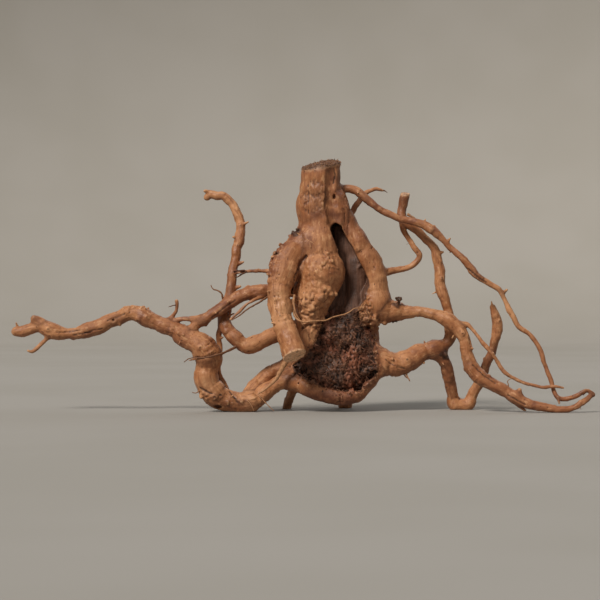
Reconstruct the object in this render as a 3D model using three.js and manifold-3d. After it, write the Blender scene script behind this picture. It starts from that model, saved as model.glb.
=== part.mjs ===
// A dry root: the weathered stump of a bush with its crooked roots, grown as one piece of wood.
//
// Frame: millimetres, +Z up, X along the long spread of the roots (+X to the right), +Y away from
// the side that shows best. The root stands on its feet on Z = 0, and the origin is the middle of
// the bottom of its box.
//
// Each root is a course: a list of stations from its base to its tip, every one of them
// [x, y, z, radius] with an optional fifth number, the radius front to back where the wood is
// flattened. The courses start inside the wood that they grow from, and one union makes them a
// single closed solid. The feet are worn flat where they stand.

import * as THREE from "three";
import { mergeVertices } from "three/addons/utils/BufferGeometryUtils.js";
import Module from "manifold-3d";

// Driving dimensions
const SAWN_TOP = 250; // height of the saw cut at the stem's right edge
const SAW_SLOPE = { left: 0.13, front: 0.12 }; // how steeply the cut falls to the left and the front
const FOOT_CUT = 0; // the level that every foot is worn down to
const CENTRE = { x: 0.5, y: 6.9 }; // middle of the spread, moved onto the origin
const STEPS_BETWEEN_STATIONS = 1; // rings laid for each stretch from one station to the next
const STOUT = 9.5; // from this radius up a root gets the finest section
const MIDDLING = 3.4; // and below this one the coarsest
const SIDES = { stout: 12, middling: 8, thin: 5 };

// Places where roots part from each other
const CROWN = [27, 5, 184, 27, 22];
const RIGHT_HIP = [82, -2, 101, 12.5];
const LOW_HIP = [55, 4, 52, 18];
const LEFT_FORK = [-97, -10, 91, 4.6];
const KNEE = [-100, -10, 67, 12.4];
const HEEL = [-43, -4, 13, 9];

const stump = {
  stem: [
    [21, 0, SAWN_TOP + 4, 18.3],
    [20, 0, 238, 19],
    [20, 0, 226, 20.5],
    [19.5, 0, 213, 22.5, 20],
    [22.5, 3, 198, 25, 21],
    CROWN,
    [31, 11, 168, 28, 20],
    [33, 20, 140, 30, 17],
    [33, 21, 110, 29, 16],
    [34, 19, 80, 30, 17],
    [36, 16, 50, 31, 18],
    [38, 12, 26, 24, 15],
    [40, 9, 13, 15, 10],
  ],
  burl: [
    [24, -2, 190, 20, 17],
    [20, -7, 170, 17],
    [21, -9, 154, 18],
    [22, -10, 139, 21.5],
    [18, -10, 124, 21.5],
    [12, -10, 110, 18.5],
    [10, -11, 97, 15],
    [9, -12, 85, 11],
    [9, -13, 72, 8],
    [9, -13, 63, 5],
  ],
  rightLeg: [
    [38, 0, 194, 12],
    [45, -1, 186, 11],
    [50, -3, 179, 10],
    [55.5, -4, 170, 10.5],
    [62, -4, 160, 11],
    [68, -4, 150, 11.5],
    [72.5, -4, 141, 11.5],
    [75.5, -4, 130, 10],
    [76, -4, 120, 10.5],
    [75, -4, 108, 12],
    [68, -4, 97, 10],
    [64, -5, 88, 5],
  ],
  shoulder: [
    [10, 0, 167, 13],
    [2, -8, 155, 13],
    [-5, -12, 144, 11.5],
    [-11, -15, 134, 7.5],
  ],
  arm: [
    [10, -4, 171, 12],
    [-5, -10, 161, 12.5],
    [-12.5, -15, 150, 14],
    [-17, -20, 138, 14.3],
    [-20.5, -25, 124, 12.3],
    [-20.5, -30, 108, 10.6],
    [-17, -35, 91, 10.4],
    [-12, -40, 76, 11],
    [-6, -45, 58, 11.5],
  ],
  heart: [
    [36, 6, 98, 20, 14],
    [37, 3, 82, 30, 18],
    [37, 2, 65, 36, 20],
    [37, 2, 50, 38, 20],
    [37, 4, 34, 35, 19],
    [38, 6, 20, 26, 15],
  ],
  rim: [
    [-14, 3, 31, 7.5],
    [4, -3, 25, 8],
    [17, -7, 20, 8],
    [30, -9, 16, 8],
    [44, -9, 14, 8],
    [56, -7, 19, 8.5],
    [65, -4, 29, 9],
    [73, 0, 42, 11],
  ],
};

const rightRoots = {
  outer: [
    [72, 0, 116, 11],
    RIGHT_HIP,
    [94, -2, 100, 9.5],
    [104, -3, 99, 6.8],
    [119, -5, 99, 5.4],
    [129, -7, 97, 5.5],
    [139, -9, 94, 6.5],
    [149, -11, 89, 7.5],
    [157, -13, 81, 7],
    [162, -14, 71, 5.6],
    [165, -15, 56, 6.5],
    [170, -16, 43, 7.5],
    [179, -17, 34, 7],
    [191, -18, 27, 6.5],
    [204, -19, 20, 6],
    [214, -20, 14, 6],
    [224, -21, 9, 5],
    [239, -23, 5.5, 4.2],
    [252, -24, 3.1, 3.6],
    [264, -25, 3.6, 3.3],
    [274, -24, 8, 3],
    [282, -22, 13, 2.7],
    [288, -18, 18, 2.4],
  ],
  lowerAndRiser: [
    LOW_HIP,
    [68, 5, 50, 14],
    [79, 5, 49, 12.3],
    [89, 5, 47, 12],
    [99, 6, 47, 12],
    [109, 7, 51, 10.8],
    [119, 9, 57, 9.8],
    [129, 10, 60, 8.5],
    [139, 12, 64, 7.2],
    [147, 14, 68, 6],
    [150, 15, 77, 6],
    [149, 15, 90, 5.5],
    [148, 15, 99, 5.3],
    [145, 15, 111, 5.5],
    [141, 16, 126, 5.2],
    [140, 16, 141, 5],
    [138, 16, 151, 5],
    [135, 16, 161, 4.6],
    [130, 16, 168, 4.2],
    [119, 15, 179, 4],
    [109, 14, 186, 4.5],
    [102, 14, 194, 5],
    [103, 15, 206, 4.9],
    [106, 15, 218, 4.2],
  ],
  loop: [
    [74, 0, 141, 6],
    [84, 5, 139.5, 4.5],
    [90, 7, 140, 4],
    [99, 10, 141.5, 3.1],
    [109, 12, 144, 3],
    [116, 13, 149, 3],
    [119, 13, 155, 2.8],
    [116, 13, 161, 2.8],
    [109, 14, 171, 2.8],
    [103, 14, 181, 2.8],
    [102, 14, 191, 3],
  ],
  backFoot: [
    [135, 12, 62, 7.5],
    [145, 16, 49, 6.3],
    [149, 22, 36, 6],
    [152, 28, 23, 5.8],
    [154, 32, 13, 5.8],
    [157, 33, 4.5, 7],
    [168, 33, 4.5, 7],
    [173, 32, 12, 5.8],
    [177, 30, 21, 5.5],
    [183, 27, 33, 5],
    [187, 24, 46, 4.8],
    [193, 22, 59, 4.6],
    [196, 20, 71, 4.3],
    [198, 19, 81, 5.5],
    [198, 18, 89, 4.8],
    [195, 17, 98, 4.2],
    [193, 16, 104, 3],
  ],
  longThin: [
    [30, 4, 222, 5],
    [42, 5, 223, 4.4],
    [54, 4, 221, 4.2],
    [69, 2, 209, 3.8],
    [79, 1, 201, 3.6],
    [89, 0, 196, 3.5],
    [99, 0, 192, 3.5],
    [109, -1, 190, 4],
    [119, -2, 187, 4],
    [129, -3, 182, 4.6],
    [139, -4, 173, 3.6],
    [147, -5, 165, 3.1],
    [159, -6, 154, 3.3],
    [169, -7, 143, 4],
    [177, -8, 134, 3.1],
    [189, -9, 126, 2.9],
    [197, -10, 121, 2.9],
    [201, -10, 115, 2.6],
    [209, -11, 97, 2.6],
    [217, -12, 84, 2.5],
    [229, -13, 75, 2.3],
    [237, -14, 61, 2.6],
    [242, -15, 48, 2.4],
    [247, -16, 34, 2.3],
    [249, -17, 24, 2.1],
    [253, -18, 16, 2.3],
    [259, -19, 13, 2.5],
    [269, -20, 15, 2.4],
    [279, -20, 20, 2.1],
    [284, -19, 21, 2],
    [289, -18, 17.5, 2.3],
  ],
  whip: [
    [154, -13, 86, 3.5],
    [164, -14, 88, 2.6],
    [169, -15, 84, 2.2],
    [175, -17, 75, 2],
    [184, -19, 64, 2],
    [191, -20, 55, 2],
    [199, -21, 42, 1.9],
    [209, -22, 35, 1.8],
    [219, -22, 30, 1.7],
    [229, -22, 27, 1.7],
    [239, -22, 25, 1.6],
    [251, -22, 25.5, 1.5],
    [259, -22, 24.5, 1.2],
  ],
};

const leftRoots = {
  longBranchAndFoot: [
    [-289, 8, 80, 3.6],
    [-281, 8, 80, 4.5],
    [-273, 7, 81, 5],
    [-261, 6, 84, 5.2],
    [-251, 5, 81, 7.3],
    [-241, 4, 78, 7],
    [-231, 4, 77, 5.9],
    [-221, 3, 77.5, 5.9],
    [-211, 2, 81.5, 7.8],
    [-201, 1, 84, 7.5],
    [-191, 0, 89, 6.5],
    [-181, 0, 93, 6.5],
    [-171, -1, 98, 7],
    [-161, -2, 97.5, 8],
    [-151, -3, 92, 9.3],
    [-141, -4, 87, 8.1],
    [-131, -5, 84, 7.9],
    [-121, -6, 80, 8.6],
    [-112, -8, 73, 11],
    KNEE,
    [-92, -11, 59, 13.2],
    [-90, -9, 52, 12],
    [-91, -8, 46, 11.6],
    [-93.5, -8, 36, 11.2],
    [-90, -7, 24, 12.2],
    [-80, -6, 14, 11.6],
    [-66, -5, 9, 10.8],
    [-53, -5, 9.5, 10.5],
    HEEL,
    [-32, -2, 22, 7.5],
    [-22, 0, 28, 7.5],
    [-10, 2, 31, 8],
    [4, 4, 33, 10],
  ],
  upper: [
    [14, 10, 124, 11],
    [-14, 2, 121, 7.5],
    [-33, -6, 121, 6.2],
    [-51, -8, 118, 6.5],
    [-61, -9, 114, 6.2],
    [-71, -10, 108, 6],
    [-81, -10, 101, 5.6],
    [-91, -10, 95, 4.8],
    LEFT_FORK,
  ],
  upperStrand: [
    LEFT_FORK,
    [-103, -10, 93, 2.9],
    [-111, -9, 92.5, 2.5],
    [-121, -8, 91.5, 2.5],
    [-131, -6, 90, 2.6],
    [-139, -5, 86, 3],
  ],
  lowerStrand: [
    LEFT_FORK,
    [-103, -10, 87, 4.2],
    [-108, -10, 82, 4],
    [-115, -10, 77, 4.4],
    [-122, -8, 74, 5],
  ],
  middleAndHook: [
    [12, 10, 78, 12],
    [-18, 2, 78, 8.5],
    [-31, -3, 74, 8],
    [-46, -5, 67, 8],
    [-56, -6, 66, 7.6],
    [-66, -5, 74, 7.2],
    [-74, -2, 84, 6.6],
    [-76, 4, 99, 6],
    [-70, 9, 118, 5.2],
    [-69, 12, 136, 4.7],
    [-66, 15, 149, 4.6],
    [-64, 18, 161, 5],
    [-61, 21, 171, 5],
    [-60, 24, 181, 4.8],
    [-61, 27, 191, 4.4],
    [-65, 29, 201, 4.5],
    [-70, 31, 210, 4.5],
    [-77, 32, 216.5, 4.1],
    [-84, 33, 216.5, 4.5],
    [-91, 34, 218, 4.2],
    [-94.5, 34, 215, 3.4],
  ],
  drop: [
    [-78, -2, 88, 3.4],
    [-81, 2, 76, 2.7],
    [-80, 4, 66, 2.7],
    [-79, 4, 51, 2.7],
    [-82, 2, 43, 2.7],
    [-78, 2, 33, 2.6],
    [-72, 1, 18, 2.8],
  ],
  inner: [
    [4, 14, 50, 11],
    [-11, 15, 46, 8],
    [-21, 15, 41, 8],
    [-31, 13, 36, 8],
    [-41, 9, 28, 8],
    [-50, 2, 18, 8],
  ],
};

const backRoots = {
  leftButtress: [
    [20, 12, 178, 14],
    [8, 30, 150, 12],
    [3, 34, 120, 10],
    [5, 30, 90, 10],
    [2, 20, 62, 11],
    [-8, 15, 46, 8],
  ],
  rightButtress: [
    [42, 14, 178, 14],
    [56, 28, 150, 12],
    [62, 32, 118, 10],
    [60, 28, 88, 10],
    [64, 16, 62, 12],
    [76, 6, 50, 12],
  ],
  leftProp: [
    [4, 10, 32, 8],
    [-7, 22, 21, 4.8],
    [-11, 33, 12, 4.3],
    [-14, 43, 1, 4.3],
    [-15, 46, -4, 4.3],
  ],
  rearProp: [
    [36, 20, 52, 14],
    [42, 38, 40, 10],
    [45, 52, 25, 8.5],
    [46, 60, 10, 7.5],
    [46, 63, -3, 7.2],
  ],
  brokenStub: [
    [28, 22, 118, 16],
    [24, 40, 124, 11],
    [20, 54, 132, 8.5],
    [17, 64, 140, 7],
  ],
  spur: [
    [40, 16, 190, 5],
    [51, 25, 198, 3.2],
    [56, 28, 206, 3],
    [61, 29, 214, 2.8],
    [65, 30, 219, 2.5],
    [71, 30, 221.5, 2.2],
    [77, 31, 223.5, 2],
    [83, 31, 222, 1.2],
  ],
};

const twigs = {
  tipKnob: [
    [-256, 6, 84, 5],
    [-261, 5, 90, 4.4],
    [-266, 4, 92.5, 3.6],
  ],
  tipTwig: [
    [-250, 4, 76, 2.6],
    [-257, 2, 69, 2],
    [-261, 0, 64, 1.9],
    [-267, -2, 59.5, 1.9],
    [-271, -3, 60.5, 1.3],
  ],
  peg: [
    [-134, -5, 88, 2.6],
    [-126, -6, 97, 1.8],
    [-123, -7, 101, 1.7],
    [-122.5, -7, 107, 1.6],
    [-123, -7, 110, 1.8],
  ],
  kneeTwig: [
    [-100, -14, 56, 2.2],
    [-86, -15, 54, 1.5],
    [-79, -13, 57, 1.4],
    [-71, -12, 61, 1.4],
    [-60, -8, 66, 1.6],
  ],
  upperTwig: [
    [-31, -6, 117, 2.2],
    [-46, -16, 111, 1.6],
    [-54, -17, 106, 1.5],
    [-61, -17, 99, 1.5],
    [-69, -16, 92, 1.5],
  ],
  sideTwig: [
    [-2, 12, 137, 3],
    [-20, 10, 139, 2],
    [-35, 12, 140, 1.7],
    [-51, 14, 140, 1.6],
    [-68, 13, 139, 1.6],
  ],
  outerSpike: [
    [205, -19, 18, 3],
    [213, -18, 9, 2.2],
    [222, -17, 2, 1.4],
  ],
  outerPeg: [
    [215, -20, 14, 3],
    [216, -21, 22, 2],
  ],
};

const wasm = await Module();
wasm.setup();

function sectionSides(course) {
  const widest = Math.max(...course.map(([, , , radius]) => radius));
  if (widest >= STOUT) return SIDES.stout;
  return widest >= MIDDLING ? SIDES.middling : SIDES.thin;
}

// Radii across and front to back at a place counted in stations, such as 2.5 halfway from 2 to 3
function radiiAt(course, place) {
  const before = Math.min(Math.floor(place), course.length - 2);
  const [near, far] = [course[before], course[before + 1]];
  const share = place - before;
  const mix = (a, b) => THREE.MathUtils.lerp(a, b, share);
  return [mix(near[3], far[3]), mix(near[4] ?? near[3], far[4] ?? far[3])];
}

// Rings square to the course, each turned as little as possible from the one before it
function ringsAlong(course) {
  const stations = course.map(([x, y, z]) => new THREE.Vector3(x, y, z));
  const curve = new THREE.CatmullRomCurve3(stations);
  const steps = (course.length - 1) * STEPS_BETWEEN_STATIONS;
  const rings = [];
  let across = new THREE.Vector3(0.3, 1, 0.2);
  for (let step = 0; step <= steps; step += 1) {
    const tangent = curve.getTangent(step / steps);
    across = across.addScaledVector(tangent, -across.dot(tangent)).normalize().clone();
    const round = tangent.clone().cross(across);
    const radii = radiiAt(course, step / STEPS_BETWEEN_STATIONS);
    rings.push({ middle: curve.getPoint(step / steps), across, round, radii });
  }
  return rings;
}

// A closed cylinder with its rings laid along the course
function rootGeometry(course) {
  const rings = ringsAlong(course);
  const steps = rings.length - 1;
  const geometry = new THREE.CylinderGeometry(1, 1, steps, sectionSides(course), steps);
  const position = geometry.attributes.position;
  const local = new THREE.Vector3();
  for (let i = 0; i < position.count; i += 1) {
    local.fromBufferAttribute(position, i);
    const ring = rings[Math.round(steps / 2 - local.y)];
    const offset = ring.across.clone().multiplyScalar(local.x).addScaledVector(ring.round, local.z);
    const [wide, deep] = ring.radii;
    offset.multiply(new THREE.Vector3(wide, deep, wide)).add(ring.middle);
    position.setXYZ(i, offset.x, offset.y, offset.z);
  }
  return geometry;
}

function solidOf(geometry) {
  geometry.deleteAttribute("normal");
  geometry.deleteAttribute("uv");
  const merged = mergeVertices(geometry, 1e-4);
  const vertProperties = Float32Array.from(merged.attributes.position.array);
  const triVerts = Uint32Array.from(merged.index.array);
  return new wasm.Manifold(new wasm.Mesh({ numProp: 3, vertProperties, triVerts }));
}

function block(low, high) {
  const size = new THREE.Vector3().subVectors(high, low);
  const middle = new THREE.Vector3().addVectors(high, low).multiplyScalar(0.5);
  return new THREE.BoxGeometry(size.x, size.y, size.z).translate(middle.x, middle.y, middle.z);
}

// Everything under the feet, and everything over the slanting saw cut, is taken away
function trimmed(wood) {
  const reach = 400;
  const below = block(
    new THREE.Vector3(-reach, -reach, -reach),
    new THREE.Vector3(reach, reach, FOOT_CUT),
  );
  const above = block(new THREE.Vector3(-reach, -reach, 0), new THREE.Vector3(reach, reach, reach));
  const [stemX, stemY, , stemRadius] = stump.stem[0];
  above.rotateX(Math.atan(SAW_SLOPE.front)).rotateY(-Math.atan(SAW_SLOPE.left));
  above.translate(stemX + stemRadius, stemY, SAWN_TOP);
  return wood.subtract(solidOf(below)).subtract(solidOf(above));
}

function meshOf(solid, name, material) {
  const { numProp, vertProperties, triVerts } = solid.getMesh();
  const geometry = new THREE.BufferGeometry();
  const attribute = new THREE.BufferAttribute(vertProperties, numProp);
  geometry.setAttribute("position", attribute);
  geometry.setIndex(new THREE.BufferAttribute(triVerts, 1));
  geometry.computeVertexNormals();
  const mesh = new THREE.Mesh(geometry, material);
  mesh.name = name;
  return mesh;
}

function dryRoot() {
  const courses = [stump, leftRoots, rightRoots, backRoots, twigs].flatMap(Object.values);
  const pieces = courses.map((course) => solidOf(rootGeometry(course)));
  const wood = pieces.reduce((whole, piece) => whole.add(piece));
  const weathered = new THREE.MeshStandardMaterial({ color: 0xac7c54, roughness: 0.82, metalness: 0 });
  const mesh = meshOf(trimmed(wood), "dry_root", weathered);
  mesh.position.set(-CENTRE.x, -CENTRE.y, 0);
  return mesh;
}

const model = new THREE.Group();
model.add(dryRoot());

export default model;
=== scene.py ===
"""Dry root: the looks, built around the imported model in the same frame.

The root is one skin. Its courses are laid into a field of distances to the wood, the joins between
roots are softened there, saw cuts and holes are taken out, and the skin is drawn off the field and
roughened along the grain. Fine rootlets, frayed splinters and shreds are separate pieces on it.
Lengths in the shaping sections are millimetres, in the part's own frame before it is centred.
"""

import itertools
import math

import bpy
import numpy as np
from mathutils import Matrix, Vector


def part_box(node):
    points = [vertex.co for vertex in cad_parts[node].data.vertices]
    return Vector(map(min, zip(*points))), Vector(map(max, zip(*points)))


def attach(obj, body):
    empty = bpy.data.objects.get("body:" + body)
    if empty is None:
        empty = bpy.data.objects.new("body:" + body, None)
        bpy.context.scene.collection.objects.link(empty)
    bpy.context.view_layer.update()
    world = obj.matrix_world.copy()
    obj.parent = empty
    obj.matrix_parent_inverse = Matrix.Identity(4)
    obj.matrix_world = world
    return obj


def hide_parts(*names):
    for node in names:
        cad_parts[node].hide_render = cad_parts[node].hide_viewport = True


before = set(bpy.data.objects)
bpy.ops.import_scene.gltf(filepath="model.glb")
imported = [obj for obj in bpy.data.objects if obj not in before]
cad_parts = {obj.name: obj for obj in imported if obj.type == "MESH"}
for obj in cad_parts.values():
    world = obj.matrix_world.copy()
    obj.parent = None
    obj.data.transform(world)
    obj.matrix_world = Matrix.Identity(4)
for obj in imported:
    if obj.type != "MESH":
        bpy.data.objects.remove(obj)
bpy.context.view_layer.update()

import openvdb
from mathutils.kdtree import KDTree

NODE = "dry_root"
BODY = "root"
MM = 0.001
LOW, HIGH = (np.array(corner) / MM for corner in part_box(NODE))

# Driving sizes, in millimetres
CENTRE = np.array([0.5, 6.9, 0.0])  # middle of the spread, moved onto the origin
VOXEL = 0.85
BAND = 7.0  # how far from the wood the field is kept
ROOM = 6.0  # spare room round the wood
SKIN_FACES = 190_000
ROOTS_APART = 400.0  # how far along the grain one root's pattern is from the next one's
SEED = 11


# ---------------------------------------------------------------- courses
# Each course runs from its base to its tip: [x, y, z, radius], and a fifth number where the wood is
# flattened, the radius front to back.

LEFT_FORK = [-97, -10, 91, 4.6]
RIGHT_HIP = [82, -2, 101, 12.5]

STUMP = {
    "stem": [
        [21, 0, 256, 18.2], [20, 0, 238, 19], [20, 0, 226, 20.5], [19.5, 0, 213, 22.5, 20],
        [22.5, 3, 198, 25, 21], [27, 5, 184, 27, 22], [31, 11, 168, 28, 20], [33, 20, 140, 30, 17],
        [33, 21, 110, 29, 16], [34, 19, 84, 26, 15],
    ],
    "burl": [
        [24, -2, 190, 20, 17], [20, -7, 170, 17], [21, -9, 154, 18], [22, -10, 139, 21.5],
        [18, -10, 124, 21.5], [12, -10, 110, 18.5], [10, -11, 97, 15], [9, -12, 85, 11],
        [9, -13, 74, 8.5], [9, -13, 65, 5.5],
    ],
    "right_leg": [
        [38, 0, 194, 12], [45, -1, 186, 11], [50, -3, 179, 10], [55.5, -4, 170, 10.5],
        [62, -4, 160, 11], [68, -4, 150, 11.5], [72.5, -4, 141, 11.5], [75.5, -4, 130, 10],
        [76, -4, 120, 10.5], [75, -4, 108, 12], [69, -4, 98, 9.5], [64, -6, 91, 5],
    ],
    "rim": [
        [-14, 3, 31, 7.5], [4, -3, 25, 8], [17, -7, 20, 8], [30, -9, 16, 8], [44, -9, 14, 8],
        [56, -7, 19, 8.5], [65, -4, 29, 9], [73, 0, 42, 11],
    ],
    "left_buttress": [
        [20, 12, 178, 14], [8, 30, 150, 12], [3, 34, 120, 10], [5, 30, 90, 10], [2, 20, 62, 11],
        [-8, 15, 46, 8],
    ],
    "right_buttress": [
        [42, 14, 178, 14], [56, 28, 150, 12], [62, 32, 118, 10], [60, 28, 88, 10], [64, 16, 62, 12],
        [76, 6, 50, 12],
    ],
}

ARM = {
    "shoulder": [[10, 0, 167, 13], [2, -8, 155, 13], [-5, -12, 144, 11.5], [-11, -15, 134, 7.5]],
    "arm": [
        [10, -4, 171, 12], [-5, -10, 161, 12.5], [-12.5, -15, 150, 14], [-17, -20, 138, 14.3],
        [-20.5, -25, 124, 12.3], [-20.5, -30, 108, 10.6], [-17, -35, 91, 10.4], [-12, -40, 76, 11],
        [-6, -46, 58, 11.5], [-4, -49, 50, 11.5],
    ],
}

HEARTWOOD = {
    "inner_wood": [
        [40, 8, 180, 6, 6], [46, 8, 168, 15, 7], [47, 9, 150, 23, 7], [46, 9, 130, 26, 7],
        [45, 9, 110, 27, 7], [42, 6, 95, 27, 9],
    ],
    "plate": [
        [38, 8, 180, 6], [45, 8, 166, 9], [53, 8, 150, 11], [56, 8, 135, 12], [56, 8, 120, 12.5],
        [54, 6, 106, 12.5], [50, 3, 94, 11],
    ],
}

RIGHT_ROOTS = {
    "outer": [
        [72, 0, 116, 11], RIGHT_HIP, [94, -2, 100, 9.5], [104, -3, 99, 6.8], [119, -5, 99, 5.4],
        [129, -7, 97, 5.5], [139, -9, 94, 6.5], [149, -11, 89, 7.5], [157, -13, 81, 7],
        [162, -14, 71, 5.6], [165, -15, 56, 6.5], [170, -16, 43, 7.5], [179, -17, 34, 7],
        [191, -18, 27, 6.5], [204, -19, 20, 6], [214, -20, 14, 6], [224, -21, 9, 5],
        [239, -23, 5.5, 4.2], [252, -24, 3.1, 3.6], [264, -25, 3.6, 3.3], [274, -24, 8, 3],
        [282, -22, 13, 2.7], [288, -18, 18, 2.4],
    ],
    "low": [
        [55, 4, 52, 18], [68, 5, 50, 14], [79, 5, 49, 12.3], [89, 5, 47, 12], [99, 6, 47, 12],
        [109, 7, 51, 10.8], [119, 9, 57, 9.8], [129, 10, 60, 8.5], [139, 12, 64, 7.2],
        [147, 14, 68, 6], [150, 15, 77, 6], [149, 15, 90, 5.5], [148, 15, 99, 5.3],
        [145, 15, 111, 5.5], [141, 16, 126, 5.2], [140, 16, 141, 5], [138, 16, 151, 5],
        [135, 16, 161, 4.6], [130, 16, 168, 4.2], [119, 15, 179, 4], [109, 14, 186, 4.5],
        [102, 14, 194, 5], [103, 15, 206, 4.9], [106, 15, 222, 4.2],
    ],
    "loop": [
        [74, 0, 141, 6], [84, 5, 139.5, 4.5], [90, 7, 140, 4], [99, 10, 141.5, 3.1], [109, 12, 144, 3],
        [116, 13, 149, 3], [119, 13, 155, 2.8], [116, 13, 161, 2.8], [109, 14, 171, 2.8],
        [103, 14, 181, 2.8], [102, 14, 191, 3],
    ],
    "back_foot": [
        [135, 12, 62, 7.5], [145, 16, 49, 6.3], [149, 22, 36, 6], [152, 28, 23, 5.8], [154, 32, 13, 5.8],
        [157, 33, 4.5, 7], [168, 33, 4.5, 7], [173, 32, 12, 5.8], [177, 30, 21, 5.5], [183, 27, 33, 5],
        [187, 24, 46, 4.8], [193, 22, 59, 4.6], [196, 20, 71, 4.3], [198, 19, 81, 5.5],
        [198, 18, 89, 4.8], [195, 17, 98, 4.2], [193, 16, 104, 3.0],
    ],
    "long_thin": [
        [30, 4, 222, 5], [42, 5, 223, 4.4], [54, 4, 221, 4.2], [69, 2, 209, 3.8], [79, 1, 201, 3.6],
        [89, 0, 196, 3.5], [99, 0, 192, 3.5], [109, -1, 190, 4], [119, -2, 187, 4], [129, -3, 182, 4.6],
        [139, -4, 173, 3.6], [147, -5, 165, 3.1], [159, -6, 154, 3.3], [169, -7, 143, 4],
        [177, -8, 134, 3.1], [189, -9, 126, 2.9], [197, -10, 121, 2.9], [201, -10, 115, 2.6],
        [209, -11, 97, 2.6], [217, -12, 84, 2.5], [229, -13, 75, 2.3], [237, -14, 61, 2.6],
        [242, -15, 48, 2.4], [247, -16, 34, 2.3], [249, -17, 24, 2.1], [253, -18, 16, 2.3],
        [259, -19, 13, 2.5], [269, -20, 15, 2.4], [279, -20, 20, 2.1], [284, -19, 21, 2],
        [289, -18, 17.5, 2.3],
    ],
    "whip": [
        [154, -13, 86, 3.5], [164, -14, 88, 2.6], [169, -15, 84, 2.2], [175, -17, 75, 2],
        [184, -19, 64, 2], [191, -20, 55, 2], [199, -21, 42, 1.9], [209, -22, 35, 1.8],
        [219, -22, 30, 1.7], [229, -22, 27, 1.7], [239, -22, 25, 1.6], [251, -22, 25.5, 1.5],
        [259, -22, 24.5, 1.1],
    ],
}

LEFT_ROOTS = {
    "long_branch": [
        [4, 4, 33, 10], [-10, 2, 31, 8], [-22, 0, 28, 7.5], [-32, -2, 22, 7.5], [-43, -4, 13, 9],
        [-53, -5, 9.5, 10.5], [-66, -5, 9, 10.8], [-80, -6, 14, 11.6], [-90, -7, 24, 12.2],
        [-93.5, -8, 36, 11.4], [-92, -8, 46, 12.2], [-91, -9, 52, 12.5], [-93, -10, 59, 13],
        [-100, -10, 67, 12.4],
        [-112, -8, 73, 11], [-121, -6, 80, 8.6], [-131, -5, 84, 7.9], [-141, -4, 87, 8.1],
        [-151, -3, 92, 9.3], [-161, -2, 97.5, 8], [-171, -1, 98, 7], [-181, 0, 93, 6.5],
        [-191, 0, 89, 6.5], [-201, 1, 84, 7.5], [-211, 2, 81.5, 7.8], [-221, 3, 77.5, 5.9],
        [-231, 4, 77, 5.9], [-241, 4, 78, 7], [-251, 5, 81, 7.3], [-261, 6, 84, 5.2],
        [-272, 7, 81, 5.6], [-279, 8, 79.5, 5.6], [-284.5, 8, 79.5, 4.8],
    ],
    "upper": [
        [14, 10, 124, 11], [-14, 2, 121, 7.5], [-33, -6, 121, 6.2], [-51, -8, 118, 6.5],
        [-61, -9, 114, 6.2], [-71, -10, 108, 6], [-81, -10, 101, 5.6], [-91, -10, 95, 4.8], LEFT_FORK,
    ],
    "upper_strand": [
        LEFT_FORK, [-103, -10, 93, 2.9], [-111, -9, 92.5, 2.5], [-121, -8, 91.5, 2.5],
        [-131, -6, 90, 2.6], [-139, -5, 86, 3],
    ],
    "lower_strand": [
        LEFT_FORK, [-103, -10, 87, 4.2], [-108, -10, 82, 4], [-115, -10, 77, 4.4], [-122, -8, 74, 5],
    ],
    "middle": [
        [12, 10, 78, 12], [-18, 2, 78, 8.5], [-31, -3, 74, 8], [-46, -5, 67, 8], [-56, -6, 66, 7.6],
        [-66, -5, 74, 7.2], [-74, -2, 84, 6.6], [-76, 4, 99, 6], [-70, 9, 118, 5.2], [-69, 12, 136, 4.7],
        [-66, 15, 149, 4.6], [-64, 18, 161, 5], [-61, 21, 171, 5], [-60, 24, 181, 4.8],
        [-61, 27, 191, 4.4], [-65, 29, 201, 4.5], [-70, 31, 210, 4.5], [-77, 32, 216.5, 4.1],
        [-84, 33, 216.5, 4.5], [-91, 34, 218, 4.2], [-94.5, 34, 215, 3.4],
    ],
    "drop": [
        [-78, -2, 88, 3.4], [-81, 2, 76, 2.7], [-81, 4, 66, 2.7], [-81, 4, 51, 3.0], [-83, 1, 43, 3.3],
        [-80, 1, 33, 3.2], [-72, 1, 18, 2.8],
    ],
    "inner": [
        [4, 14, 50, 11], [-11, 15, 46, 8], [-21, 15, 41, 8], [-31, 13, 36, 8], [-41, 9, 28, 8],
        [-50, 2, 18, 8],
    ],
}

BACK_ROOTS = {
    "left_prop": [
        [4, 10, 32, 8], [-7, 22, 21, 4.8], [-11, 33, 12, 4.3], [-14, 43, 1, 4.3], [-15, 46, -4, 4.3],
    ],
    "rear_prop": [
        [36, 20, 52, 14], [42, 38, 40, 10], [45, 52, 25, 8.5], [46, 60, 10, 7.5], [46, 63, -3, 7.2],
    ],
    "broken_stub": [[28, 22, 118, 16], [24, 40, 124, 11], [20, 54, 132, 8.5], [17, 66, 141, 7]],
    "spur": [
        [40, 16, 190, 5], [51, 25, 198, 3.2], [56, 28, 206, 3], [61, 29, 214, 2.8], [65, 30, 219, 2.5],
        [71, 30, 221.5, 2.2], [77, 31, 223.5, 2], [83, 31, 222, 1.2],
    ],
}

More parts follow.
